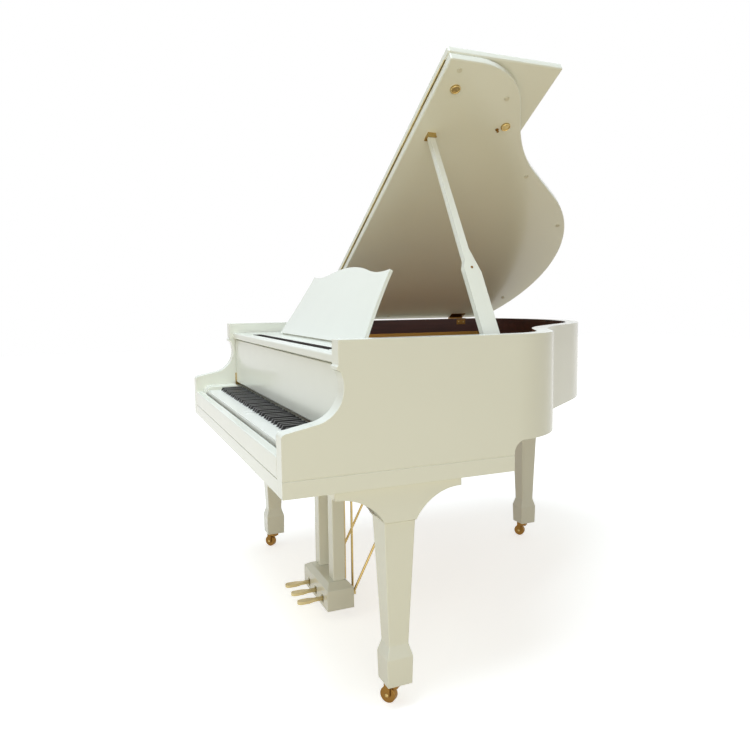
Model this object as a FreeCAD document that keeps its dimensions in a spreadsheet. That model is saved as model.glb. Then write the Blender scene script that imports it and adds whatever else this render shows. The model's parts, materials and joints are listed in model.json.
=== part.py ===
import FreeCAD, Part
import Sketcher
import math
import os

# A white baby grand piano with its lid propped open, as separate pieces.
# Millimetres, +Z up, keyboard towards -Y, treble side towards +X, floor at Z = 0.
# Lengths along the piano are counted from the front of the arms by along().

Vector = FreeCAD.Vector
Rotation = FreeCAD.Rotation
Placement = FreeCAD.Placement

doc = FreeCAD.newDocument("BabyGrand")

SIZES = (
    # Case
    ("width", 1490, "overall width of the case"),
    ("front_y", -780, "place of the arm fronts along Y"),
    ("rim_top", 1000, "top of the rim above the floor"),
    ("case_bottom", 620, "bottom of the keybed and of the front sides"),
    ("rim_up", 85, "bottom of the shallow rim above the keybed's"),
    ("rim_wall", 50, "thickness of the outer rim"),
    ("glue_gap", 0.4, "gap left between curved faces that are glued"),
    ("side_straight", 662, "where the treble side begins to bend"),
    ("cheek_radius", 232, "radius of the treble shoulder"),
    ("cheek_turn", 60.8, "angle turned by the treble shoulder"),
    ("cheek_run", 110.9, "straight length after the shoulder"),
    ("waist_radius", 716, "radius of the hollow waist"),
    ("waist_heading", 37.5, "heading after the waist"),
    ("bent_run", 215, "straight length before the tail"),
    ("tail_heading", 118, "heading at the end of the tail arc"),
    ("corner_radius", 125, "radius of the bass tail corner"),
    # Arms
    ("arm_top_y", 146, "front of the arm at its top"),
    ("lip_out", 4, "how far the moulding under the upper arm face stands out"),
    ("lip_high", 8, "height of that moulding"),
    ("neck_y", 160, "front of the arm at its neck"),
    ("neck_turn", 26, "angle by which the sweep runs on above the neck"),
    ("sweep_drop", 117, "middle of the arm's sweep under the rim's top"),
    ("sweep_radius", 89, "radius of the sweep"),
    ("shelf_slope", 11.5, "slope of the arm's low shelf"),
    ("nose_radius", 12, "rounding of the arm's front"),
    ("step_y", 654, "end of the deep part of the side"),
    ("step_radius", 35, "radius of the cove behind it"),
    ("line_up", 43, "height of the decorative line over the case's bottom"),
    ("line_width", 3, "width of the decorative line"),
    ("line_depth", 2, "depth of the decorative line"),
    # Structure
    ("inner_wall", 35, "thickness of the inner rim"),
    ("belly_y", 500, "front of the belly rail"),
    ("belly_depth", 40, "depth of the belly rail"),
    ("board_drop", 154, "underside of the soundboard under the rim's top"),
    ("board_thick", 9, "thickness of the soundboard"),
    ("beam_high", 65, "height of the braces under the soundboard"),
    ("rib_high", 20, "height of a soundboard rib"),
    ("rib_wide", 24, "width of a soundboard rib"),
    # Plate and strings
    ("plate_drop", 136, "underside of the iron plate under the rim's top"),
    ("plate_thick", 14, "thickness of the iron plate"),
    ("plate_ring", 60, "width of the plate along the rim"),
    ("plate_front", 300, "front edge of the plate"),
    ("strike_front", 457, "front edge of the opening where hammers rise"),
    ("pinblock_thick", 30, "thickness of the pinblock"),
    ("pinblock_back", 452, "rear face of the pinblock"),
    ("bridge_x", 704, "centre of the long bridge's curve, across"),
    ("bridge_y", 2071, "centre of the long bridge's curve, along"),
    ("bridge_radius", 1500, "radius of the long bridge"),
    ("bridge_low", 217.9, "angle of the long bridge's bass end"),
    ("bridge_high", 265.6, "angle of the long bridge's treble end"),
    ("bridge_wide", 26, "width of the long bridge"),
    ("hitch_wide", 45, "width of the hitch strip"),
    ("strut_high", 26, "height of a plate strut"),
    ("strut_wide", 11, "width of a plate strut"),
    ("bar_drop", 63, "top of the bass side bar under the rim's top"),
    ("bar_wide", 8, "width of that bar"),
    ("pin_radius", 3.3, "radius of a tuning pin"),
    ("pin_high", 26, "height of a tuning pin above the plate"),
    ("wire_radius", 0.7, "radius of a plain string"),
    ("wound_radius", 1.5, "radius of a wound string"),
    ("wound_lift", 13, "height of wound strings over plain ones"),
    # Keyboard and action
    ("keybed_thick", 40, "thickness of the keybed"),
    ("keybed_depth", 500, "depth of the keybed"),
    ("slip_depth", 28, "thickness of the key slip"),
    ("slip_high", 56, "height of the key slip above the keybed"),
    ("keys_wide", 1225, "width of the keyboard"),
    ("key_front", 35, "front of the white keys"),
    ("key_back", 430, "tail of all keys"),
    ("key_up", 86, "underside of the keys over the case's bottom"),
    ("white_thick", 22, "height of a white key"),
    ("head_back", 84.5, "rear of the wide part of a white key"),
    ("sharp_front", 86, "front of a black key"),
    ("sharp_back", 172, "rear of the raised part of a black key"),
    ("sharp_high", 34, "height of a black key"),
    ("sharp_wide", 10, "width of a black key"),
    ("key_gap", 1, "gap between two keys"),
    ("balance_y", 245, "line on which the keys rock"),
    ("seat_gap", 0.4, "felt gap under a key"),
    ("block_gap", 13.5, "gap from the keys to a key block"),
    ("block_high", 36, "top of the key blocks over the keys' underside"),
    ("action_wide", 1320, "length of the hammer rail"),
    ("shank_y", 340, "line on which the hammers turn"),
    ("shank_drop", 36, "height of that line under the iron plate"),
    ("shank_long", 130, "length of a hammer shank"),
    ("shank_half", 4, "half thickness of a shank"),
    ("hammer_bore", 47, "height of a hammer over its shank"),
    ("hammer_rest", 19, "angle a shank hangs below level"),
    ("hammer_wide", 9, "width of a hammer"),
    # Fallboard, tray and desk
    ("fall_gap", 5, "gap from the fallboard to each side"),
    ("fall_thick", 18, "thickness of the fallboard"),
    ("fall_y", 176, "fallboard pivot, along"),
    ("fall_up", 59, "fallboard pivot over the keys' underside"),
    ("fall_below", 17, "fallboard below its pivot"),
    ("fall_clear", 4, "gap from the open fallboard to the front rail"),
    ("pivot_radius", 5, "radius of a fallboard pin"),
    ("run_fit", 0.05, "radial clearance of a turning pin"),
    ("rail_y", 160, "front of the front rail"),
    ("rail_deep", 43, "depth of the front rail"),
    ("rail_high", 25, "height of the front rail"),
    ("tray_drop", 40, "top of the music tray and front rail under the rim's top"),
    ("tray_thick", 18, "thickness of the music tray"),
    ("tray_gap", 7, "gap from the music tray to each side"),
    ("tray_back", 520, "rear edge of the music tray"),
    ("slot_wide", 990, "length of the finger slot"),
    ("slot_deep", 32, "width of the finger slot"),
    ("desk_y", 322, "foot line of the music desk"),
    ("desk_lift", 0.5, "gap under the music desk"),
    ("desk_lean", 29, "lean of the desk from upright"),
    ("desk_thick", 11, "thickness of the desk"),
    ("desk_foot", 944, "width of the desk at its foot"),
    ("desk_head", 782, "width of the desk over its horns"),
    ("desk_high", 255, "height of the desk to its horns"),
    ("crown_foot", 410, "width of the crown of the desk"),
    ("crown_radius", 1011, "radius of that crown"),
    ("hollow_radius", 510, "radius of the hollow beside it"),
    ("desk_waist", 910, "radius of the desk's hollow sides"),
    ("strut_at", 150, "height on the desk of its strut's pivot"),
    ("strut_long", 152, "length of the desk strut"),
    # Lid
    ("hinge_out", 8, "lid hinge line outside the case"),
    ("hinge_up", 2, "lid hinge line over the rim's top"),
    ("lid_angle", 30.8, "angle of the open lid"),
    ("lid_over", 10, "overhang of the lid past the rim"),
    ("lid_thick", 24, "thickness of the lid and its flap"),
    ("lid_gap", 2, "underside of the lid above its hinge line"),
    ("lid_front", 565, "line of the flap hinge"),
    ("flap_deep", 401, "depth of the front flap from its hinge line"),
    ("edge_gap", 2.6, "gap from the flap hinge line to each panel"),
    ("fold_up", 2, "flap hinge line over the lid's top"),
    ("knuckle", 2.2, "radius of the flap hinge knuckle"),
    ("leaf", 0.9, "thickness of a hinge leaf"),
    ("leaf_wide", 24, "width of a hinge leaf"),
    ("butt_radius", 5, "radius of a lid hinge knuckle"),
    ("butt_long", 76, "length of a lid hinge"),
    ("butt_leaf", 1.8, "thickness of a lid hinge leaf"),
    # Prop
    ("cup_in", 219, "prop cup nearer to the lid hinge than the prop's pivot"),
    ("cup_y", 627, "prop cup, along"),
    ("cup_thick", 5, "thickness of the prop cup"),
    ("prop_in", 23, "prop pivot from the inside of the rim"),
    ("prop_drop", 45, "prop pivot under the rim's top"),
    ("prop_pin", 4, "radius of the prop's pin"),
    ("prop_half", 10, "half thickness of the prop"),
    ("prop_wide", 24, "width of the prop at its foot"),
    ("prop_side", 10, "extra width of the prop's lower part towards the player"),
    ("prop_tip", 17, "width of the prop at its tip"),
    ("prop_flare", 270, "length of the prop's wider lower part"),
    ("half_wide", 21, "width of the half prop"),
    ("half_long", 300, "length of the half prop"),
    # Legs and casters
    ("leg_in", 63, "front legs from the outside of the case"),
    ("leg_y", 314, "front legs, along"),
    ("rear_x", -318, "rear leg, across"),
    ("rear_y", 1398, "rear leg, along"),
    ("bracket_high", 100, "height of a leg bracket over the shaft"),
    ("shaft_wide", 88, "width of the shaft at its top"),
    ("ankle_z", 177, "height of a leg's ankle"),
    ("ankle_wide", 57, "width of the ankle"),
    ("foot_top", 144, "height of the shoulder of the foot"),
    ("foot_wide", 76, "width of the foot at its shoulder"),
    ("foot_bottom", 66, "bottom of the foot"),
    ("foot_base", 72, "width of the foot at its bottom"),
    ("bracket_long", 360, "length of a leg bracket"),
    ("rear_long", 220, "length of the rear leg's bracket"),
    ("bracket_edge", 23, "edge height of a leg bracket"),
    ("bracket_radius", 147, "radius of the bracket's wings"),
    ("bracket_wide", 100, "width of a leg bracket"),
    ("wheel_radius", 23, "radius of a caster wheel"),
    ("wheel_wide", 18, "width of a caster wheel"),
    ("axle_radius", 4, "radius of a caster axle"),
    ("stem_radius", 6, "radius of a caster stem"),
    ("stem_long", 32, "length of a caster stem"),
    ("trail", 20, "offset of the wheel behind its stem"),
    ("caster_turn", -51, "angle at which the casters stand"),
    # Pedals
    ("lyre_wide", 284, "width of the pedal box"),
    ("lyre_front", 297, "front of the pedal box"),
    ("lyre_deep", 96, "depth of the pedal box"),
    ("lyre_low", 35, "bottom of the pedal box"),
    ("lyre_edge", 106, "top edge of the pedal box"),
    ("lyre_shoulder", 124, "top of the pedal box under the posts"),
    ("post_wide", 52, "width of a lyre post"),
    ("post_deep", 44, "depth of a lyre post"),
    ("post_x", 80, "middle of a lyre post"),
    ("post_back", 8, "posts behind the middle of the pedal box"),
    ("pedal_gap", 80, "distance between two pedals"),
    ("pedal_tip", 208, "front of the pedals"),
    ("pedal_pivot", 345, "line on which the pedals rock"),
    ("pedal_z", 61, "height of that line"),
    ("pedal_thick", 10, "thickness of a pedal"),
    ("pedal_pin", 3, "radius of a pedal's pin"),
    ("rod_y", 410, "pedal rods, along"),
    ("rod_radius", 4, "radius of a pedal rod"),
    ("brace_radius", 4.5, "radius of a lyre brace"),
)


class Size:
    """A number together with the spreadsheet expression that drives it."""

    def __init__(self, value, text):
        self.value = float(value)
        self.text = text

    def joined(self, sign, other, value):
        return Size(value, "(%s %s %s)" % (self.text, sign, other.text))

    def __add__(self, other):
        other = as_size(other)
        return self.joined("+", other, self.value + other.value)

    def __sub__(self, other):
        other = as_size(other)
        return self.joined("-", other, self.value - other.value)

    def __mul__(self, other):
        other = as_size(other)
        return self.joined("*", other, self.value * other.value)

    def __truediv__(self, other):
        other = as_size(other)
        return self.joined("/", other, self.value / other.value)

    def __radd__(self, other):
        return as_size(other) + self

    def __rsub__(self, other):
        return as_size(other) - self

    def __rmul__(self, other):
        return as_size(other) * self

    def __neg__(self):
        return as_size(0) - self


def as_size(amount):
    """Wrap a plain number so that it can meet sizes in a sum."""
    if isinstance(amount, Size):
        return amount
    return Size(amount, "(%r)" % float(amount))


def cosd(angle):
    angle = as_size(angle)
    return Size(math.cos(math.radians(angle.value)), "cos(%s * 1 deg)" % angle.text)


def sind(angle):
    angle = as_size(angle)
    return Size(math.sin(math.radians(angle.value)), "sin(%s * 1 deg)" % angle.text)


class Sheet:
    """The spreadsheet of driving sizes, read as attributes."""

    def __init__(self, rows):
        table = doc.addObject("Spreadsheet::Sheet", "Sizes")
        for row, (alias, value, note) in enumerate(rows, 1):
            table.set("A%d" % row, note)
            table.set("B%d" % row, str(value))
            table.setAlias("B%d" % row, alias)
            setattr(self, alias, Size(value, "Sizes." + alias))


s = Sheet(SIZES)
doc.recompute()
half = s.width / 2
wall_in = half - s.rim_wall

# Places that follow from the sizes above, so that pieces stay seated when a size changes.
s.rim_bottom = s.case_bottom + s.rim_up
s.sweep_z = s.rim_top - s.sweep_drop
s.line_z = s.case_bottom + s.line_up
s.board_z = s.rim_top - s.board_drop
s.plate_z = s.rim_top - s.plate_drop
s.key_bottom = s.case_bottom + s.key_up
s.sharp_top = s.key_bottom + s.sharp_high
s.block_x = s.keys_wide * 0.5 + s.block_gap
s.block_top = s.key_bottom + s.block_high
s.shank_z = s.plate_z - s.shank_drop
s.tray_top = s.rim_top - s.tray_drop
s.tray_wide = (wall_in - s.tray_gap) * 2
s.rail_low = s.tray_top - s.rail_high
s.fall_wide = (wall_in - s.fall_gap) * 2
s.fall_z = s.key_bottom + s.fall_up
s.fall_above = s.rail_low - s.fall_clear - s.fall_z
s.hinge_x = -half - s.hinge_out
s.hinge_z = s.rim_top + s.hinge_up
s.prop_x = wall_in - s.prop_in
s.prop_z = s.rim_top - s.prop_drop
s.cup_u = s.prop_x - s.hinge_x - s.cup_in
s.leg_x = half - s.leg_in
s.shaft_top = s.case_bottom - s.bracket_high

NODES = []

ALONG_X = Rotation(Vector(0, 1, 0), 90)
ALONG_Y = Rotation(Vector(1, 0, 0), -90)
SIDE_VIEW = Rotation(Vector(1, 1, 1), 120)


def along(distance):
    """Y of a place counted from the front of the arms."""
    return s.front_y + distance


def bind(item, prop, amount):
    item.setExpression(prop, as_size(amount).text)


def place(item, x=0, y=0, z=0, turn=None):
    """Put an object at bound coordinates, with an optional turn."""
    if turn is not None:
        item.Placement = Placement(Vector(), turn)
    for axis, amount in zip("xyz", (x, y, z)):
        bind(item, "Placement.Base." + axis, amount)
    return item


def node(label, item):
    """Name a finished piece and list it for export."""
    item.Label = label
    NODES.append(item)
    return item


def box(x, y, z):
    """A block between three pairs of bounds."""
    item = doc.addObject("Part::Box", "block")
    for prop, axis, (low, high) in zip(("Length", "Width", "Height"), "xyz", (x, y, z)):
        bind(item, prop, as_size(high) - low)
        bind(item, "Placement.Base." + axis, low)
    return item


def cylinder(radius, length, x, y, z, turn=None):
    item = doc.addObject("Part::Cylinder", "round")
    bind(item, "Radius", radius)
    bind(item, "Height", length)
    return place(item, x, y, z, turn)


def prism(radius, length, x, y, z, turn=None, sides=6):
    item = doc.addObject("Part::Prism", "prism")
    item.Polygon = sides
    bind(item, "Circumradius", radius)
    bind(item, "Height", length)
    return place(item, x, y, z, turn)


def taper(low, high, bottom, top, x, y):
    """A square or oblong pier between two heights, centred on x and y."""
    item = doc.addObject("Part::Wedge", "taper")
    bind(item, "Ymin", 0)
    bind(item, "Ymax", as_size(high) - low)
    for axis, wide_low, wide_high in zip("XZ", bottom, top):
        bind(item, axis + "min", as_size(wide_low) * -0.5)
        bind(item, axis + "max", as_size(wide_low) * 0.5)
        bind(item, axis + "2min", as_size(wide_high) * -0.5)
        bind(item, axis + "2max", as_size(wide_high) * 0.5)
    return place(item, x, y, low, Rotation(Vector(1, 0, 0), 90))


def fuse(items):
    item = doc.addObject("Part::MultiFuse", "joined")
    item.Shapes = items
    item.Refine = True
    return item


def cut(base, tools):
    item = doc.addObject("Part::Cut", "cut")
    item.Base = base
    item.Tool = tools[0] if len(tools) == 1 else gather(tools)
    return item


def gather(items):
    item = doc.addObject("Part::Compound", "set")
    item.Links = items
    return item


def spread(base, depth, x, y, z, turn=SIDE_VIEW):
    """Extrude a shared profile, lying in the side view by default."""
    item = doc.addObject("Part::Extrusion", "extrusion")
    item.Base = base
    item.DirMode = "Normal"
    item.Solid = True
    bind(item, "LengthFwd", depth)
    return place(item, x, y, z, turn)


class Bend:
    """An arc that leaves a corner of an outline."""

    def __init__(self, radius, left):
        self.radius = as_size(radius)
        self.left = left

    def flipped(self):
        return Bend(self.radius, not self.left)

    def centre(self, start, end):
        chord = end - start
        side = Vector(-chord.y, chord.x, 0).normalize()
        rise = self.radius.value ** 2 - (chord.Length / 2) ** 2
        reach = math.sqrt(max(rise, 0))
        return (start + end) * 0.5 + side * (reach if self.left else -reach)


def corner(spot):
    return Vector(as_size(spot[0]).value, as_size(spot[1]).value, 0)


def bend_of(spot):
    return spot[2] if len(spot) > 2 else None


def draw(sketch, loops):
    """Draw closed outlines whose corners and radii follow the spreadsheet."""
    for loop in loops:
        edges = []
        for spot, following in zip(loop, loop[1:] + loop[:1]):
            start, end, bend = corner(spot), corner(following), bend_of(spot)
            if bend is None:
                edges.append((sketch.addGeometry(Part.LineSegment(start, end), False), 1, 2))
                continue
            middle = bend.centre(start, end)
            ring = Part.Circle(middle, Vector(0, 0, 1), bend.radius.value)
            first, last = (start, end) if bend.left else (end, start)
            angles = [math.atan2(spot_.y - middle.y, spot_.x - middle.x) for spot_ in (first, last)]
            index = sketch.addGeometry(Part.ArcOfCircle(ring, angles[0], angles[1]), False)
            edges.append((index, 1, 2) if bend.left else (index, 2, 1))
        for edge, following, spot in zip(edges, edges[1:] + edges[:1], loop):
            ends = (edge[0], edge[2], following[0], following[1])
            sketch.addConstraint(Sketcher.Constraint("Coincident", *ends))
            for kind, amount in (("DistanceX", spot[0]), ("DistanceY", spot[1])):
                amount = as_size(amount)
                hold(sketch, Sketcher.Constraint(kind, -1, 1, edge[0], edge[1], amount.value), amount)
            bend = bend_of(spot)
            if bend is not None:
                hold(sketch, Sketcher.Constraint("Radius", edge[0], bend.radius.value), bend.radius)


def hold(sketch, constraint, amount):
    """Add a constraint and bind it to its size."""
    name = "size%d" % sketch.ConstraintCount
    sketch.renameConstraint(sketch.addConstraint(constraint), name)
    sketch.setExpression("Constraints." + name, amount.text)


def profile(loops):
    sketch = doc.addObject("Sketcher::SketchObject", "profile")
    draw(sketch, loops)
    return sketch


class Solid:
    """One body grown by pads and pockets of bound sketches."""

    def __init__(self):
        self.body = doc.addObject("PartDesign::Body", "body")

    def sketch(self, role, loops, level):
        plane = [item for item in self.body.Origin.OriginFeatures if item.Role == role][0]
        sketch = self.body.newObject("Sketcher::SketchObject", "sketch")
        sketch.AttachmentSupport = (plane, [""])
        sketch.MapMode = "FlatFace"
        bind(sketch, "AttachmentOffset.Base.z", level)
        draw(sketch, loops)
        return sketch

    def pad(self, role, loops, level, depth):
        """Grow from a level in the direction of the plane's normal."""
        feature = self.body.newObject("PartDesign::Pad", "pad")
        feature.Profile = self.sketch(role, loops, level)
        bind(feature, "Length", depth)
        return self

    def pocket(self, role, loops, level, depth):
        """Cut from a level against the plane's normal."""
        feature = self.body.newObject("PartDesign::Pocket", "pocket")
        feature.Profile = self.sketch(role, loops, level)
        bind(feature, "Length", depth)
        return self


def oblong(x, y):
    """A rectangular outline between two pairs of bounds."""
    return [(x[0], y[0]), (x[1], y[0]), (x[1], y[1]), (x[0], y[1])]


# The plan of the rim: shoulder, waist and tail are arcs that run into each other.
turn_cos, turn_sin = cosd(s.cheek_turn), sind(s.cheek_turn)
waist_cos, waist_sin = cosd(s.waist_heading), sind(s.waist_heading)
tail_cos, tail_sin = cosd(s.tail_heading), sind(s.tail_heading)
used_width = (s.cheek_radius * (1 - turn_cos) + s.cheek_run * turn_sin
              + s.waist_radius * (waist_cos - turn_cos) + s.bent_run * waist_sin
              + s.corner_radius * (1 + tail_cos))
tail_radius = (s.width - used_width) / (waist_cos - tail_cos)


def rim_path(inset):
    """Corners of the plan outline moved inwards, from the treble side round to the bass side."""
    cheek = s.cheek_radius - inset
    waist = s.waist_radius + inset
    tail = tail_radius - inset
    bass = s.corner_radius - inset
    x, y = half - inset, along(s.side_straight)
    spots = [(x, y, Bend(cheek, True))]
    x, y = x - cheek * (1 - turn_cos), y + cheek * turn_sin
    spots.append((x, y))
    x, y = x - s.cheek_run * turn_sin, y + s.cheek_run * turn_cos
    spots.append((x, y, Bend(waist, False)))
    x, y = x - waist * (waist_cos - turn_cos), y + waist * (turn_sin - waist_sin)
    spots.append((x, y))
    x, y = x - s.bent_run * waist_sin, y + s.bent_run * waist_cos
    spots.append((x, y, Bend(tail, True)))
    x, y = x - tail * (waist_cos - tail_cos), y + tail * (tail_sin - waist_sin)
    spots.append((x, y, Bend(bass, True)))
    spots.append((inset - half, y - bass * tail_sin))
    return spots


def backwards(path):
    """The same path walked the other way."""
    turned = []
    for index in range(len(path) - 1, -1, -1):
        bend = bend_of(path[index - 1]) if index else None
        turned.append((path[index][0], path[index][1], bend.flipped() if bend else None))
    return turned


def rim_field(inset, front):
    """A closed outline inside the rim with a straight front edge."""
    return [(half - inset, front)] + rim_path(inset) + [(inset - half, front)]


def rim_band(outer, inner, front):
    """A closed outline that follows the rim between two insets."""
    outside = [(half - outer, front)] + rim_path(outer) + [(outer - half, front)]
    inside = [(inner - half, front)] + backwards(rim_path(inner)) + [(half - inner, front)]
    return outside + inside


def trace(path):
    """Points along a path, for setting out small pieces."""
    points = []
    for spot, following in zip(path, path[1:]):
        start, end, bend = corner(spot), corner(following), bend_of(spot)
        if bend is None:
            points.extend(start + (end - start) * (step / 16) for step in range(16))
            continue
        middle = bend.centre(start, end)
        swing = (start - middle).getAngle(end - middle)
        for step in range(16):
            angle = swing * step / 16 * (1 if bend.left else -1)
            points.append(middle + Rotation(Vector(0, 0, 1), math.degrees(angle)).multVec(start - middle))
    return points + [corner(path[-1])]


def tail_y(inset, x):
    """Y at which a line along the piano leaves the rim outline at x."""
    points = trace(rim_path(inset))
    crossings = []
    for low, high in zip(points, points[1:]):
        if (low.x - x) * (high.x - x) <= 0 and low.x != high.x:
            crossings.append(low.y + (high.y - low.y) * (x - low.x) / (high.x - low.x))
    return max(crossings)


def side_x(inset, y):
    """X at which a line across the piano leaves the treble side at y."""
    points = trace(rim_path(inset))
    crossings = [half.value - inset]
    for low, high in zip(points, points[1:]):
        if (low.y - y) * (high.y - y) <= 0 and low.y != high.y and low.x > -200:
            crossings.append(low.x + (high.x - low.x) * (y - low.y) / (high.y - low.y))
    return min(crossings)


def make_case():
    """Outer rim with its arms, inner rim and braces."""
    rim = Solid()
    rim.pad("XY_Plane", [rim_band(as_size(0), s.rim_wall, along(0))],
            s.case_bottom, s.rim_top - s.case_bottom)
    sweep_y = s.neck_y - s.sweep_radius
    shelf_y = sweep_y + s.sweep_radius * sind(s.shelf_slope)
    shelf_z = s.sweep_z - s.sweep_radius * cosd(s.shelf_slope)
    fall = sind(s.shelf_slope) / cosd(s.shelf_slope)
    nose_z = shelf_z - (shelf_y - s.nose_radius) * fall
    before = as_size(-30)
    above = s.rim_top + 30
    neck_end_y = sweep_y + s.sweep_radius * cosd(s.neck_turn)
    neck_end_z = s.sweep_z + s.sweep_radius * sind(s.neck_turn)
    lip_y = s.arm_top_y - s.lip_out
    arm_front = [
        (along(before), above),
        (along(before), nose_z - s.nose_radius),
        (along(0), nose_z - s.nose_radius, Bend(s.nose_radius * 1.1, False)),
        (along(s.nose_radius), nose_z),
        (along(shelf_y), shelf_z, Bend(s.sweep_radius, True)),
        (along(neck_end_y), neck_end_z),
        (along(lip_y), neck_end_z + 4),
        (along(lip_y), neck_end_z + 4 + s.lip_high),
        (along(s.arm_top_y), neck_end_z + 4 + s.lip_high + s.lip_out),
        (along(s.arm_top_y), above),
    ]
    past = along(s.width * 1.2)
    under_rim = [
        (along(s.step_y), s.case_bottom - 30),
        (past, s.case_bottom - 30),
        (past, s.rim_bottom),
        (along(s.step_y + s.step_radius), s.rim_bottom, Bend(s.step_radius, True)),
        (along(s.step_y), s.rim_bottom - s.step_radius),
    ]
    rim.pocket("YZ_Plane", [arm_front, under_rim], half + 10, s.width + 20)
    groove = oblong((along(before), along(s.step_y + 10)), (s.line_z, s.line_z + s.line_width))
    rim.pocket("YZ_Plane", [groove], half, s.line_depth)
    rim.pocket("YZ_Plane", [groove], s.line_depth - half, s.line_depth)
    node("outer_rim", rim.body)

    outer = s.rim_wall + s.glue_gap
    belly_back = s.belly_y + s.belly_depth
    inner = Solid()
    inner.pad("XY_Plane", [rim_band(outer, outer + s.inner_wall, along(belly_back))],
              s.rim_bottom, s.board_z - s.rim_bottom)
    node("inner_rim", inner.body)

    beam_top = s.rim_bottom + s.beam_high
    reach = s.lyre_wide * 0.4
    beams = [box((-wall_in, wall_in), (along(s.belly_y), along(belly_back)), (s.rim_bottom, s.board_z))]
    for middle, wide, end in ((-reach, 60, 1200), (reach, 60, 1130), (s.rear_x, 120, 1436)):
        beams.append(box((middle - wide / 2, middle + wide / 2), (along(belly_back), along(end)),
                         (s.rim_bottom, beam_top)))
    node("rim_braces", gather(beams))

    board = Solid()
    board.pad("XY_Plane", [rim_field(outer, along(s.belly_y))], s.board_z, s.board_thick)
    node("soundboard", board.body)

    ribs = []
    clear = (s.rim_wall + s.inner_wall).value + 6
    for index in range(7):
        rib_y = 610 + 120 * index
        far = side_x(clear, along(rib_y).value)
        far = min(far, side_x(clear, along(rib_y + s.rib_wide.value).value))
        near = clear - half.value
        if index == 6:
            near = near + 45
        ribs.append(box((near, far), (along(rib_y), along(rib_y + s.rib_wide)),
                        (s.board_z - s.rib_high, s.board_z)))
    node("soundboard_ribs", gather(ribs))


def bridge_spot(radius, angle):
    return (s.bridge_x + radius * cosd(angle), along(s.bridge_y + radius * sind(angle)))


PLAIN_SLOTS = 71
STRUT_SLOTS = (30, 46, 60)
BASS_COUNT = 20
PLAIN_FIRST, PLAIN_SPAN = -268, 874
BASS_FIRST, BASS_STEP, BASS_SLANT = -650, 16.5, 0.245
STRING_LINE = 455


def plain_line(slot):
    """A string's direction and the point where it leaves the bridge."""
    share = slot / (PLAIN_SLOTS - 1)
    angle = s.bridge_low + (s.bridge_high - s.bridge_low) * share
    x, y = bridge_spot(s.bridge_radius, angle)
    start = Vector(PLAIN_FIRST + PLAIN_SPAN * share, along(STRING_LINE).value, 0)
    end = Vector(x.value, y.value, 0)
    way = (end - start).normalize()
    inward = Vector(s.bridge_x.value, along(s.bridge_y).value, 0) - end
    hitch = (s.bridge_wide.value + s.hitch_wide.value / 2) / way.dot(inward.normalize())
    return start, way, end + way * hitch


def bass_line(index):
    start = Vector(BASS_FIRST + BASS_STEP * index, along(STRING_LINE).value, 0)
    way = Vector(BASS_SLANT, 1, 0).normalize()
    length = 900.0
    for _ in range(4):
        spot = start + way * length
        edge = (s.rim_wall + s.plate_ring).value - 10
        length += (tail_y(edge, spot.x) - spot.y) * way.y
    return start, way, start + way * length


def on_line(start, way, y):
    """X of a string at a distance from the front."""
    return start.x + way.x / way.y * (along(y).value - start.y)


def courses():
    """Every string in order from the bass: kind, start, direction, end and pin distance."""
    found = []
    for index in range(BASS_COUNT):
        found.append(("bass",) + bass_line(index) + (345 + 32 * (index % 3),))
    for slot in range(PLAIN_SLOTS):
        if slot not in STRUT_SLOTS:
            found.append(("plain",) + plain_line(slot) + (330 + 32 * (slot % 3),))
    return found


COURSES = courses()
plate_top = s.plate_z + s.plate_thick
board_top = s.board_z + s.board_thick
plain_z = plate_top + 0.5 + s.wire_radius
wound_z = plain_z + s.wound_lift


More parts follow.
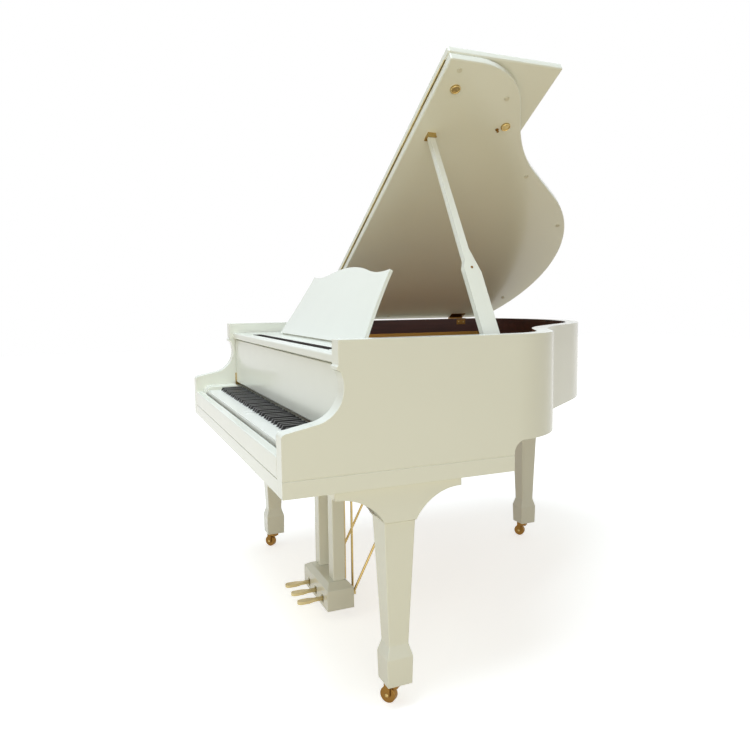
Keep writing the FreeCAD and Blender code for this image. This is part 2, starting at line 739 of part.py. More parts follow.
def make_plate():
    """Iron plate with its openings and struts, pinblock, bridges, pins and strings."""
    edge = s.rim_wall + 4
    ring = s.rim_wall + s.plate_ring
    side = half - ring + 19
    hitch_front = s.bridge_radius - s.bridge_wide * 0.5 - 18
    hitch_back = hitch_front - s.hitch_wide
    treble_x, treble_y = bridge_spot(hitch_front, s.bridge_high)
    strip_end = (-side, along(1300))
    main_opening = [
        (-side, along(s.strike_front)),
        (side, along(s.strike_front)),
        (side, treble_y),
        (treble_x, treble_y, Bend(hitch_front, False)),
        bridge_spot(hitch_front, s.bridge_low),
        strip_end,
    ]
    inside = rim_path(ring)
    low_x, low_y = bridge_spot(hitch_back, s.bridge_low + 3)
    high_x, high_y = bridge_spot(hitch_back, s.bridge_high - 13)
    tail_opening = [
        (low_x, low_y, Bend(hitch_back, True)),
        (high_x, high_y),
        inside[2],
        inside[3],
        inside[4],
        (inside[5][0], inside[5][1]),
    ]
    plate = Solid()
    plate.pad("XY_Plane", [rim_field(edge, along(s.plate_front)), main_opening, tail_opening],
              s.plate_z, s.plate_thick)
    plate.pad("XY_Plane", [rim_band(edge, edge + 24, along(s.belly_y + 6))],
              board_top, s.plate_z - board_top)
    pieces = [plate.body]
    for slot in STRUT_SLOTS:
        start, way, end = plain_line(slot)
        angle = math.degrees(math.atan2(way.y, way.x))
        length = (end - start).Length + 6
        strut = doc.addObject("Part::Box", "strut")
        strut.Length = length
        bind(strut, "Width", s.strut_wide)
        bind(strut, "Height", s.strut_high)
        across = Vector(-way.y, way.x, 0) * (-s.strut_wide.value / 2)
        corner = start + across
        place(strut, corner.x, corner.y, plate_top - 0.2, Rotation(Vector(0, 0, 1), angle))
        pieces.append(strut)
    bar_x = edge - half
    bar_end = rim_path(edge)[-1][1]
    bar_high = s.rim_top - s.bar_drop - plate_top
    bend = s.corner_radius - edge
    straight = box((bar_x, bar_x + s.bar_wide), (along(590), bar_end), (plate_top, plate_top + bar_high))
    bow = cylinder(bend, bar_high, bar_x + bend, bar_end, plate_top, Rotation(Vector(0, 0, 1), 155))
    bow.Angle = 25
    bow = cut(bow, [cylinder(bend - s.bar_wide, bar_high, bar_x + bend, bar_end, plate_top)])
    node("iron_plate", gather([fuse(pieces), fuse([straight, bow])]))

    bolts = []
    inset = ring - 36
    path = [(half - inset, along(560))] + rim_path(inset) + [(inset - half, along(560))]
    spots = trace(path)
    for index in range(12):
        spot = spots[int((index + 0.5) * len(spots) / 12)]
        bolts.append(prism(11, 7, spot.x, spot.y, plate_top))
    node("plate_bolts", gather(bolts))

    node("pinblock", box((-wall_in, wall_in), (along(s.plate_front + 4), along(s.pinblock_back)),
                         (s.plate_z - s.pinblock_thick, s.plate_z)))

    half_wide = s.bridge_wide * 0.5
    near, far = s.bridge_radius - half_wide, s.bridge_radius + half_wide
    first, second = bridge_spot(near, s.bridge_low), bridge_spot(near, s.bridge_high)
    third, fourth = bridge_spot(far, s.bridge_high), bridge_spot(far, s.bridge_low)
    bridge = Solid()
    bridge.pad("XY_Plane", [[first + (Bend(near, True),), second, third + (Bend(far, False),), fourth]],
               board_top, plate_top - 0.6 - board_top)
    node("long_bridge", bridge.body)

    bass = box((-165, 165), (-12, 12), (board_top, wound_z - s.wound_radius - 0.4))
    bass.Placement.Rotation = Rotation(Vector(0, 0, 1), -10)
    corner_spot = Rotation(Vector(0, 0, 1), -10).multVec(Vector(-165, -12, 0))
    bind(bass, "Placement.Base.x", corner_spot.x - 275)
    bind(bass, "Placement.Base.y", along(1325 + corner_spot.y))
    node("bass_bridge", bass)

    pins, plain, wound = [], [], []
    for kind, start, way, end, pin_y in COURSES:
        pin_x = on_line(start, way, pin_y)
        lift = s.wound_lift if kind == "bass" else as_size(0)
        pins.append(prism(s.pin_radius, s.pin_high, pin_x, along(pin_y), plate_top, sides=8))
        begin = Vector(pin_x, along(pin_y).value, 0) + way * (s.pin_radius.value + 0.3)
        radius = s.wound_radius if kind == "bass" else s.wire_radius
        turn = Rotation(Vector(0, 0, 1), way)
        wire = prism(radius, (end - begin).Length, begin.x, begin.y, plain_z + lift, turn, sides=5)
        (wound if kind == "bass" else plain).append(wire)
    node("tuning_pins", gather(pins))
    node("plain_strings", gather(plain))
    node("bass_strings", gather(wound))


LETTERS = "ABCDEFG"
SHARP_SHIFT = {"A": 3.5, "C": -2.5, "D": 2.5, "F": -3.5, "G": 0}
WHITE_COUNT = 52


def keyboard_layout():
    """Left edge of each white key, and the middle of each black key after its white one."""
    pitch = s.keys_wide / WHITE_COUNT
    whites = [s.keys_wide * -0.5 + pitch * index for index in range(WHITE_COUNT)]
    blacks = {}
    for index in range(WHITE_COUNT - 1):
        letter = LETTERS[index % 7]
        if letter in SHARP_SHIFT:
            blacks[index] = whites[index] + pitch + SHARP_SHIFT[letter]
    return pitch, whites, blacks


def make_keyboard():
    """Keybed, key slip, key blocks, key frame, keys and hammers."""
    keybed_top = s.case_bottom + s.keybed_thick
    bed = box((-wall_in, wall_in), (along(0), along(s.keybed_depth)), (s.case_bottom, keybed_top))
    well_radius = s.rod_radius + 3
    well_deep = s.keybed_thick - 4
    wells = [cylinder(well_radius, well_deep, s.pedal_gap * side, along(s.rod_y), s.case_bottom)
             for side in (-1, 0, 1)]
    node("keybed", cut(bed, wells))
    node("key_slip", box((-wall_in, wall_in), (along(0), along(s.slip_depth)),
                         (keybed_top, keybed_top + s.slip_high)))
    block_back = s.fall_y - s.fall_thick * 0.5 - 5
    outline = [
        (along(s.slip_depth), keybed_top),
        (along(block_back), keybed_top),
        (along(block_back), s.block_top),
        (along(s.slip_depth + 30), s.block_top, Bend(30, True)),
        (along(s.slip_depth), s.block_top - 30),
    ]
    shape = profile([outline])
    wide = wall_in - s.block_x
    node("key_blocks", gather([spread(shape, wide, s.block_x, 0, 0), spread(shape, wide, -wall_in, 0, 0)]))

    rest = s.key_bottom - s.seat_gap
    inside = s.keys_wide * 0.5 + 2
    outside = inside + 8
    rails = [
        box((-inside, inside), (along(40), along(80)), (keybed_top, s.key_bottom - 12)),
        box((-inside, inside), (along(s.balance_y - 10), along(s.balance_y + 10)), (keybed_top, rest - 15)),
        box((-inside, inside), (along(s.balance_y - 4), along(s.balance_y + 4)), (rest - 15, rest)),
        box((-inside, inside), (along(s.key_back - 35), along(s.key_back)), (keybed_top, rest)),
    ]
    for low, high in ((-outside, -inside), (inside, outside)):
        rails.append(box((low, high), (along(40), along(s.key_back)), (keybed_top, s.key_bottom + 10)))
    node("key_frame", fuse(rails))

    rail_back = s.shank_y - s.shank_half - 0.5
    top = s.shank_z + 6
    ends = s.action_wide * 0.5
    action = [box((-ends, ends), (along(s.shank_y - 30), along(rail_back)), (s.shank_z - 16, top))]
    for low, high in ((-outside, -inside), (inside, outside)):
        action.append(box((low, high), (along(s.shank_y - 30), along(rail_back)), (s.key_bottom + 10, top)))
    node("action_rails", fuse(action))

    pitch, whites, blacks = keyboard_layout()
    half_sharp = s.sharp_wide * 0.5 + s.key_gap
    white_keys = []
    for index, left in enumerate(whites):
        low, high = left + s.key_gap * 0.5, left + pitch - s.key_gap * 0.5
        tail_low = blacks[index - 1] + half_sharp if index - 1 in blacks else low
        tail_high = blacks[index] - half_sharp if index in blacks else high
        z = (s.key_bottom, s.key_bottom + s.white_thick)
        head = box((low, high), (along(s.key_front), along(s.head_back)), z)
        tail = box((tail_low, tail_high), (along(s.head_back), along(s.key_back)), z)
        white_keys.append(fuse([head, tail]))
    node("white_keys", gather(white_keys))
    stick = s.key_bottom + s.white_thick - 1
    sharp = profile([[
        (along(s.sharp_front), s.key_bottom),
        (along(s.key_back), s.key_bottom),
        (along(s.key_back), stick),
        (along(s.sharp_back + 4), stick),
        (along(s.sharp_back), s.sharp_top),
        (along(s.sharp_front + 5), s.sharp_top),
        (along(s.sharp_front), stick + 2),
    ]])
    node("black_keys", gather([spread(sharp, s.sharp_wide, middle - s.sharp_wide * 0.5, 0, 0)
                               for middle in blacks.values()]))

    kinds = {"plain": hammer_profile(as_size(0)), "bass": hammer_profile(s.wound_lift - 1)}
    sagging = Rotation(Vector(1, 0, 0), -s.hammer_rest.value).multiply(SIDE_VIEW)
    hammers = {True: [], False: []}
    is_sharp = []
    for index in range(WHITE_COUNT):
        is_sharp.append(False)
        if index in blacks:
            is_sharp.append(True)
    strike_y = s.shank_y.value + s.shank_long.value
    for sharp_note, (kind, start, way, end, _) in zip(is_sharp, COURSES):
        x = on_line(start, way, strike_y) - s.hammer_wide.value / 2
        hammer = spread(kinds[kind], s.hammer_wide, x, along(s.shank_y), s.shank_z, sagging)
        hammers[sharp_note].append(hammer)
    node("white_hammers", gather(hammers[False]))
    node("black_hammers", gather(hammers[True]))


def hammer_profile(extra):
    """Shank with a round butt on its pivot and a tapered head."""
    top = s.hammer_bore + extra
    return profile([[
        (0, -s.shank_half, Bend(s.shank_half, False)),
        (-s.shank_half, 0, Bend(s.shank_half, False)),
        (0, s.shank_half),
        (s.shank_long - 9, s.shank_half),
        (s.shank_long - 9, top - 16),
        (s.shank_long - 5, top),
        (s.shank_long + 5, top),
        (s.shank_long + 9, top - 16),
        (s.shank_long + 9, -s.shank_half),
    ]])


def make_dampers():
    """One damper with its wire on every string that has one."""
    wooden = profile([[(-32, 0), (35, 0), (35, 10), (20, 24), (-24, 24), (-32, 16)]])
    pieces = []
    wide = 8
    for index, (kind, start, way, end, _) in enumerate(COURSES):
        if index >= BASS_COUNT + 46:
            break
        turn = Rotation(Vector(0, 1, 0), way)
        middle = Vector(on_line(start, way, 520), along(520).value, 0)
        radius = s.wound_radius if kind == "bass" else s.wire_radius
        level = wound_z if kind == "bass" else plain_z
        z = level + radius + 0.3
        drop = z - s.key_bottom - 84
        begin = middle + turn.multVec(Vector(wide * -0.5, 0, 0))
        head = spread(wooden, wide, begin.x, begin.y, z, turn.multiply(SIDE_VIEW))
        side = 3.2 if kind == "bass" else -3.2
        foot = middle + turn.multVec(Vector(side, -23.5, 0))
        stem = prism(1, drop + 2, foot.x, foot.y, z - drop)
        pieces.append(fuse([head, stem]))
    node("dampers", gather(pieces))


def make_front():
    """Front rail, fallboard with its pivots, tray with its runners, desk and strut."""
    node("front_stretcher", box((-wall_in, wall_in), (along(s.rail_y), along(s.rail_y + s.rail_deep)),
                                (s.rail_low, s.tray_top)))
    end = s.fall_wide * 0.5
    pin_in = end - 14
    half_thick = s.fall_thick * 0.5
    panel = box((-end, end), (along(s.fall_y + 3 - half_thick), along(s.fall_y + 3 + half_thick)),
                (s.fall_z - s.fall_below, s.fall_z + s.fall_above))
    bore = s.pivot_radius + s.run_fit
    bores = [cylinder(bore, 16, start, along(s.fall_y), s.fall_z, ALONG_X)
             for start in (pin_in - 1, -end - 1)]
    node("fallboard", cut(panel, bores))
    plates = []
    plate_in = wall_in - 2
    for low, high, start in ((plate_in, wall_in, pin_in), (-wall_in, -plate_in, -plate_in)):
        leaf = box((low, high), (along(s.fall_y - 11), along(s.fall_y + 11)),
                   (s.fall_z - 29, s.fall_z + 23))
        pin = cylinder(s.pivot_radius, plate_in - pin_in, start, along(s.fall_y), s.fall_z, ALONG_X)
        plates.append(fuse([leaf, pin]))
    node("fallboard_pivots", gather(plates))

    tray_low = s.tray_top - s.tray_thick
    side = s.tray_wide * 0.5
    tray_front = s.rail_y + s.rail_deep + 1
    runners = [box(x, (along(230), along(560)), (tray_low - 27, tray_low))
               for x in ((-wall_in, 33 - wall_in), (wall_in - 33, wall_in))]
    node("tray_runners", gather(runners))
    tray = Solid()
    slot = s.slot_wide * 0.5
    tray.pad("XY_Plane", [[
        (-side, along(tray_front)),
        (-slot, along(tray_front)),
        (-slot, along(tray_front + s.slot_deep)),
        (slot, along(tray_front + s.slot_deep)),
        (slot, along(tray_front)),
        (side, along(tray_front)),
        (side, along(s.tray_back)),
        (-side, along(s.tray_back)),
    ]], tray_low, s.tray_thick)
    node("music_tray", tray.body)

    foot, head = s.desk_foot * 0.5, s.desk_head * 0.5
    crown = s.crown_foot * 0.5
    crown_z = s.desk_high + 4
    right = [
        (foot, 0, Bend(s.desk_waist, False)),
        (head, s.desk_high - 3, Bend(3, True)),
        (head - 3, s.desk_high, Bend(s.hollow_radius, False)),
        (crown, crown_z, Bend(s.crown_radius, True)),
    ]
    left = [
        (-crown, crown_z, Bend(s.hollow_radius, False)),
        (3 - head, s.desk_high, Bend(3, True)),
        (-head, s.desk_high - 3, Bend(s.desk_waist, False)),
        (-foot, 0),
    ]
    desk = Solid()
    desk.pad("XY_Plane", [right + left], 0, s.desk_thick)
    pivot_in, pivot_out = 62, 72
    lugs = [box(x, (s.strut_at - 6, s.strut_at + 6), (-11, 0))
            for x in ((-pivot_out, -pivot_in), (pivot_in, pivot_out))]
    bore = cylinder(2.5 + s.run_fit, 160, -80, s.strut_at, -6, ALONG_X)
    whole = cut(fuse([desk.body] + lugs), [bore])
    foot_z = s.tray_top + s.desk_lift
    upright = Rotation(Vector(1, 0, 0), 90 - s.desk_lean.value)
    node("music_desk", place(whole, 0, along(s.desk_y), foot_z, upright))

    lean_sin, lean_cos = sind(s.desk_lean), cosd(s.desk_lean)
    pivot_y = s.desk_y + s.strut_at * lean_sin + 6 * lean_cos
    pivot_z = foot_z + s.strut_at * lean_cos - 6 * lean_sin
    drop = math.degrees(math.asin((pivot_z.value - s.tray_top.value - 3.5) / s.strut_long.value))
    strut = fuse([
        box((-58, 58), (0, s.strut_long), (-2, 2)),
        cylinder(4.5, 116, -58, 0, 0, ALONG_X),
        cylinder(2.5, 142, -71, 0, 0, ALONG_X),
    ])
    node("desk_strut", place(strut, 0, along(pivot_y), pivot_z, Rotation(Vector(1, 0, 0), -drop)))


BUTTS = (760, 1274)
LID_TURN = Rotation(Vector(0, -1, 0), s.lid_angle.value)


def on_lid(item):
    """Carry a piece from the closed lid's own frame to the open lid."""
    return place(item, s.hinge_x, 0, s.hinge_z, LID_TURN)


def make_lid():
    """Main lid, folded front flap, their hinges, cups and bumpers."""
    low, top = s.lid_gap, s.lid_gap + s.lid_thick
    out = as_size(0) - s.lid_over
    field = rim_field(out, along(s.lid_front + s.edge_gap))
    shape = [(spot[0] - s.hinge_x,) + tuple(spot[1:]) for spot in field]
    lid = Solid()
    lid.pad("XY_Plane", [shape], low, s.lid_thick)
    notches = []
    for butt in BUTTS:
        notches.append(oblong((as_size(-30), s.butt_radius + 1),
                              (along(butt - s.butt_long * 0.5 - 1), along(butt + s.butt_long * 0.5 + 1))))
    lid.pocket("XY_Plane", notches, top + 5, s.lid_thick + 10)
    node("main_lid", on_lid(lid.body))

    bass, treble = out - half - s.hinge_x, half - out - s.hinge_x
    fold = top + s.fold_up
    flap = Solid()
    flap_y = (along(s.lid_front + s.edge_gap), along(s.lid_front + s.flap_deep))
    flap.pad("XY_Plane", [oblong((bass, treble), flap_y)],
             fold + s.fold_up, s.lid_thick)
    node("front_flap", on_lid(flap.body))

    count = 8
    step = (treble - bass - 60) / count
    leaf_y = (along(s.lid_front), along(s.lid_front + s.edge_gap + s.leaf_wide))
    run = (bass + 30, bass + 30 + step * count)
    seat = 0.05
    under = fold + s.fold_up - seat
    for label, z, odd in (("flap_hinge_lid_leaf", (top + seat, top + seat + s.leaf), 0),
                          ("flap_hinge_flap_leaf", (under - s.leaf, under), 1)):
        pieces = [box(run, leaf_y, z)]
        for index in range(count):
            begin = run[0] + step * index
            if index % 2 == odd:
                pieces.append(cylinder(s.knuckle, step - 0.8, begin + 0.4, along(s.lid_front),
                                       fold, ALONG_X))
        others = [box((run[0] + step * index - 0.4, run[0] + step * (index + 1) + 0.4),
                      (leaf_y[0] - 5, along(s.lid_front + s.knuckle + 0.35)), (z[0] - 2, z[1] + 2))
                  for index in range(count) if index % 2 != odd]
        trimmed = cut(pieces[0], others)
        node(label, on_lid(fuse([trimmed] + pieces[1:])))

    rim_leaves, lid_leaves = [], []
    rest = s.rim_top - s.hinge_z
    for butt in BUTTS:
        start = butt - s.butt_long * 0.5
        third = s.butt_long / 3
        leaf_x = (0, 42)
        y = (along(start), along(start + s.butt_long))
        barrel = [cylinder(s.butt_radius, third - 0.4, 0, along(start + third * index), 0, ALONG_Y)
                  for index in range(3)]
        plate = box((s.hinge_x, s.hinge_x + 42), y, (s.rim_top, s.rim_top + s.butt_leaf))
        for piece in (barrel[0], barrel[2]):
            shift = 0 if piece is barrel[0] else 2
            place(piece, s.hinge_x, along(start + third * shift), s.hinge_z, ALONG_Y)
        room = box((s.hinge_x - 10, s.hinge_x + s.butt_radius + 0.4),
                   (along(start + third - 0.2), along(start + third * 2 + 0.2)),
                   (s.rim_top - 5, s.rim_top + 5))
        rim_leaves.append(fuse([cut(plate, [room]), barrel[0], barrel[2]]))
        upper = box(leaf_x, y, (low - s.butt_leaf, low))
        rooms = [box((-10, s.butt_radius + 0.4), span, (-5, 5)) for span in (
            (along(start - 5), along(start + third)),
            (along(start + third * 2 - 0.4), along(start + s.butt_long + 5)))]
        lid_leaves.append(fuse([cut(upper, rooms), barrel[1]]))
    node("lid_hinge_rim_leaves", gather(rim_leaves))
    node("lid_hinge_lid_leaves", on_lid(gather(lid_leaves)))

    cup_y = along(s.cup_y)
    cup_stop = s.cup_u + s.prop_half + 1.5
    main_cup = [
        box((s.cup_u - 20, cup_stop), (cup_y - 14, cup_y + 14), (low - s.cup_thick, low)),
        box((cup_stop, cup_stop + 4), (cup_y - 14, cup_y + 14), (low - s.cup_thick - 12, low)),
    ]
    others = [cylinder(16, s.cup_thick, u, along(y), low - s.cup_thick)
              for u, y in ((s.cup_u + 199, 627), (s.cup_u + 74, 871))]
    node("prop_cups", on_lid(gather(main_cup + others)))

    pads = []
    for x, y in ((720, 610), (640, 815), (300, 1085), (20, 1405), (-560, 1450), (-722, 900)):
        pads.append(cylinder(8, 3.4, x - s.hinge_x, along(y), low - 3.4))
    node("lid_bumpers", on_lid(gather(pads)))


def make_prop():
    """Prop with its nested half prop, and the clevis they turn on."""
    angle = s.lid_angle.value
    turn = math.radians(angle)
    low = s.lid_gap.value - s.cup_thick.value - 0.5
    tip_x = s.hinge_x.value + s.cup_u.value * math.cos(turn) - low * math.sin(turn)
    tip_z = s.hinge_z.value + s.cup_u.value * math.sin(turn) + low * math.cos(turn)
    rise, back = tip_z - s.prop_z.value, s.prop_x.value - tip_x
    length = math.hypot(rise, back)
    lean = math.degrees(math.atan2(back, rise))
    slant = Rotation(Vector(0, -1, 0), lean)
    front = s.prop_wide * -0.5
    stick = Solid()
    round_end = s.prop_half + 2
    stick.pad("YZ_Plane", [[
        (front - s.prop_side, -round_end),
        (front + s.prop_wide, -round_end),
        (front + s.prop_wide, 330),
        (front + 4 + s.prop_tip, length),
        (front + 4, length),
        (front, 330),
        (front, 25 + s.prop_flare),
        (front - s.prop_side, s.prop_flare),
    ]], -s.prop_half, s.prop_half * 2)
    bore = cylinder(s.prop_pin + s.run_fit, 80, 0, -40, 0, ALONG_Y)
    ends = [cut(box((-20, 20), (-40, 40), (-20, 0)), [cylinder(s.prop_half, 80, 0, -40, 0, ALONG_Y)])]
    prop = cut(stick.body, [bore])
    prop = cut(prop, ends)
    half_pin = cylinder(3, s.half_wide + 2, 0, s.prop_wide * 0.5 - 1, 40, ALONG_Y)
    node("lid_prop", place(fuse([prop, half_pin]), s.prop_x, along(s.cup_y), s.prop_z, slant))
    nested = Solid()
    begin = s.prop_wide * 0.5 + 0.5
    nested.pad("YZ_Plane", [[
        (begin, 30),
        (begin + s.half_wide, 30),
        (begin + s.half_wide, 30 + s.half_long - 80),
        (begin + 2, 30 + s.half_long),
        (begin, 30 + s.half_long),
    ]], -s.prop_half + 2, s.prop_half * 2 - 4)
    hole = cylinder(3 + s.run_fit, 80, 0, -20, 40, ALONG_Y)
    node("half_prop", place(cut(nested.body, [hole]), s.prop_x, along(s.cup_y), s.prop_z, slant))

    side = s.prop_wide * 0.5 + 0.5
    ear = 5
    reach = side + ear + 4
    back_plate = box((wall_in - 4, wall_in), (along(s.cup_y - s.prop_side - reach), along(s.cup_y + reach)),
                     (s.prop_z - 28, s.prop_z + 28))
    pieces = [back_plate]
    for low_y in (s.cup_y - side - s.prop_side - ear, s.cup_y + side):
        pieces.append(box((s.prop_x - 9, wall_in - 4), (along(low_y), along(low_y + ear)),
                          (s.prop_z - 9, s.prop_z + 9)))
    pin_long = side * 2 + ear * 2 + s.prop_side
    pin_y = along(s.cup_y - side - s.prop_side - ear)
    pieces.append(cylinder(s.prop_pin, pin_long, s.prop_x, pin_y, s.prop_z, ALONG_Y))
    node("prop_bracket", fuse(pieces))


def make_leg(label, x, y, seat, long):
    """One leg: winged bracket, tapered shaft, flared foot and caster bore."""
    edge = seat - s.bracket_edge
    shaft_top = s.shaft_top + seat - s.case_bottom
    end = long * 0.5
    neck = s.shaft_wide * 0.5
    wings = profile([[
        (end, seat),
        (-end, seat),
        (-end, edge, Bend(s.bracket_radius, False)),
        (-neck, shaft_top),
        (neck, shaft_top, Bend(s.bracket_radius, False)),
        (end, edge),
    ]])
    pieces = [
        spread(wings, s.bracket_wide, x - s.bracket_wide * 0.5, y, 0),
        taper(s.ankle_z, shaft_top, (s.ankle_wide, s.ankle_wide), (s.shaft_wide, s.shaft_wide), x, y),
        taper(s.foot_top, s.ankle_z, (s.foot_wide, s.foot_wide), (s.ankle_wide, s.ankle_wide), x, y),
        taper(s.foot_bottom, s.foot_top, (s.foot_base, s.foot_base), (s.foot_wide, s.foot_wide), x, y),
    ]
    socket = cylinder(s.stem_radius + s.run_fit, s.stem_long + 1, x, y, s.foot_bottom)
    node(label, cut(fuse(pieces), [socket]))


def make_caster(name, x, y):
    """A swivelling fork with its stem and axle, and a wheel."""
    turn = Rotation(Vector(0, 0, 1), s.caster_turn.value)
    inside = s.wheel_wide * 0.5 + 0.6
    outside = inside + 4
    plate = s.foot_bottom - 0.3
    bridge_low = s.wheel_radius * 2 + 2
    pieces = [
        cylinder(s.stem_radius, s.stem_long, 0, 0, plate - 4),
        cylinder(20, 4, 0, 0, plate - 4),
        box((-outside, outside), (-s.trail - 9, 12), (bridge_low, plate - 4)),
        cylinder(s.axle_radius, outside * 2, -outside, -s.trail, s.wheel_radius, ALONG_X),
    ]
    for low, high in ((-outside, -inside), (inside, outside)):
        pieces.append(box((low, high), (-s.trail - 9, -s.trail + 9), (s.wheel_radius, bridge_low)))
        pieces.append(cylinder(9, high - low, low, -s.trail, s.wheel_radius, ALONG_X))
    node("caster_fork_" + name, place(fuse(pieces), x, y, 0, turn))
    tyre = cylinder(s.wheel_radius, s.wheel_wide, s.wheel_wide * -0.5, -s.trail, s.wheel_radius, ALONG_X)
    bore = cylinder(s.axle_radius + s.run_fit, s.wheel_wide + 4, s.wheel_wide * -0.5 - 2, -s.trail,
                    s.wheel_radius, ALONG_X)
    node("caster_wheel_" + name, place(cut(tyre, [bore]), x, y, 0, turn))


def make_lyre():
    """Pedal box on two posts, with pedals, rods and braces."""
    wide = s.lyre_wide * 0.5
    middle = s.lyre_front + s.lyre_deep * 0.5
    back = s.lyre_front + s.lyre_deep
    post_out = s.post_x + s.post_wide * 0.5
    body = box((-wide, wide), (along(s.lyre_front), along(back)), (s.lyre_low, s.lyre_edge))
    shoulder = taper(s.lyre_edge, s.lyre_shoulder, (s.lyre_wide, s.lyre_deep),
                     (post_out * 2 + 6, s.post_deep + s.post_back * 2 + 4), 0, along(middle))
    tools = []
    for index in (-1, 0, 1):
        x = s.pedal_gap * index
        tools.append(fuse([
            box((x - 13, x + 13), (along(s.lyre_front - 5), along(back + 5)),
                (s.pedal_z - 13, s.pedal_z + 14)),
            cylinder(s.pedal_pin + s.run_fit, 42, x - 21, along(s.pedal_pivot), s.pedal_z, ALONG_X),
        ]))
    node("lyre_box", cut(fuse([body, shoulder]), tools))
    posts = []
    top_block = s.case_bottom - 22
    half_deep = s.post_deep * 0.5
    stand = middle + s.post_back
    for side in (-1, 1):
        x = s.post_x * side
        posts.append(box((x - s.post_wide * 0.5, x + s.post_wide * 0.5),
                         (along(stand - half_deep), along(stand + half_deep)),
                         (s.lyre_shoulder, top_block)))
    posts.append(box((-post_out - 12, post_out + 12),
                     (along(stand - half_deep - 10), along(stand + half_deep + 10)),
                     (top_block, s.case_bottom)))
    node("lyre_posts", fuse(posts))

    half_tip = 14
    arm = 7
    labels = ("soft", "sostenuto", "damper")
    for label, index in zip(labels, (-1, 0, 1)):
        x = s.pedal_gap * index
        shape = [
            (x - arm, along(s.rod_y + 10)),
            (x - arm, along(s.pedal_tip + 60)),
            (x - half_tip, along(s.pedal_tip + 40)),
            (x - half_tip, along(s.pedal_tip + half_tip), Bend(half_tip, True)),
            (x, along(s.pedal_tip), Bend(half_tip, True)),
            (x + half_tip, along(s.pedal_tip + half_tip)),
            (x + half_tip, along(s.pedal_tip + 40)),
            (x + arm, along(s.pedal_tip + 60)),
            (x + arm, along(s.rod_y + 10)),
        ]
        lever = Solid()
        lever.pad("XY_Plane", [shape], s.pedal_z - s.pedal_thick * 0.5, s.pedal_thick)
        pin = cylinder(s.pedal_pin, 40, x - 20, along(s.pedal_pivot), s.pedal_z, ALONG_X)
        node("pedal_" + label, fuse([lever.body, pin]))
        foot = s.pedal_z + s.pedal_thick * 0.5 + 0.4
        rod_long = s.case_bottom + 22 - foot
        node("pedal_rod_" + label, cylinder(s.rod_radius, rod_long, x, along(s.rod_y), foot))

    start = Vector(0, along(back).value + 7, s.lyre_low.value + 40)
    end = Vector(0, along(back).value + 330, s.rim_bottom.value - 3)
    slope = Rotation(Vector(0, 0, 1), end - start)
    reach = s.lyre_wide * 0.4
    rods = []
    for x in (-reach, reach):
        rod = cylinder(s.brace_radius, (end - start).Length, x, start.y, start.z, slope)
        ferrule = box((x - 8, x + 8), (along(back), along(back) + 5), (s.lyre_low + 28, s.lyre_low + 52))
        foot = box((x - 12, x + 12), (end.y - 14, end.y + 14), (s.rim_bottom - 6, s.rim_bottom))
        rods.append(fuse([rod, ferrule, foot]))
    node("lyre_braces", gather(rods))


make_case()
make_plate()
make_keyboard()
make_dampers()
make_front()
make_lid()
make_prop()
LEGS = (
    ("front_bass", -s.leg_x, along(s.leg_y), s.case_bottom, s.bracket_long),
    ("front_treble", s.leg_x, along(s.leg_y), s.case_bottom, s.bracket_long),
    ("rear", s.rear_x, along(s.rear_y), s.rim_bottom, s.rear_long),
)
for leg_name, leg_x, leg_y, leg_seat, leg_long in LEGS:
    make_leg("leg_" + leg_name, leg_x, leg_y, leg_seat, leg_long)
    make_caster(leg_name, leg_x, leg_y)
make_lyre()
doc.recompute()

faults = [item.Label for item in doc.Objects if "Invalid" in item.State or "Error" in item.State]
for item in NODES:
    if item.Shape.isNull() or not item.Shape.isValid():
        faults.append(item.Label)
if faults:
    raise RuntimeError("unsound: " + ", ".join(faults))

os.makedirs("parts", exist_ok=True)
for item in NODES:
    item.Shape.exportStep("parts/%s.step" % item.Label)
print("pieces", len(NODES))
for item in NODES:
    bounds = item.Shape.BoundBox
    print("%s: %d solids, x %.1f to %.1f, y %.1f to %.1f, z %.1f to %.1f" % (
        item.Label, len(item.Shape.Solids), bounds.XMin, bounds.XMax,
        bounds.YMin, bounds.YMax, bounds.ZMin, bounds.ZMax))
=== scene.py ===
"""White baby grand piano: lacquer, veneer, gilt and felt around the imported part.

Every CAD piece is either dressed with a finish or stood in for by a copy with softened edges.
Small fittings that only show up close, such as screws, felts and pins, are added here.
"""

import json
import logging
import math
from dataclasses import dataclass
from enum import Enum
from typing import Callable, Iterable, Sequence, TypeVar

import bmesh
import bpy
from mathutils import Matrix, Vector
from mathutils.bvhtree import BVHTree

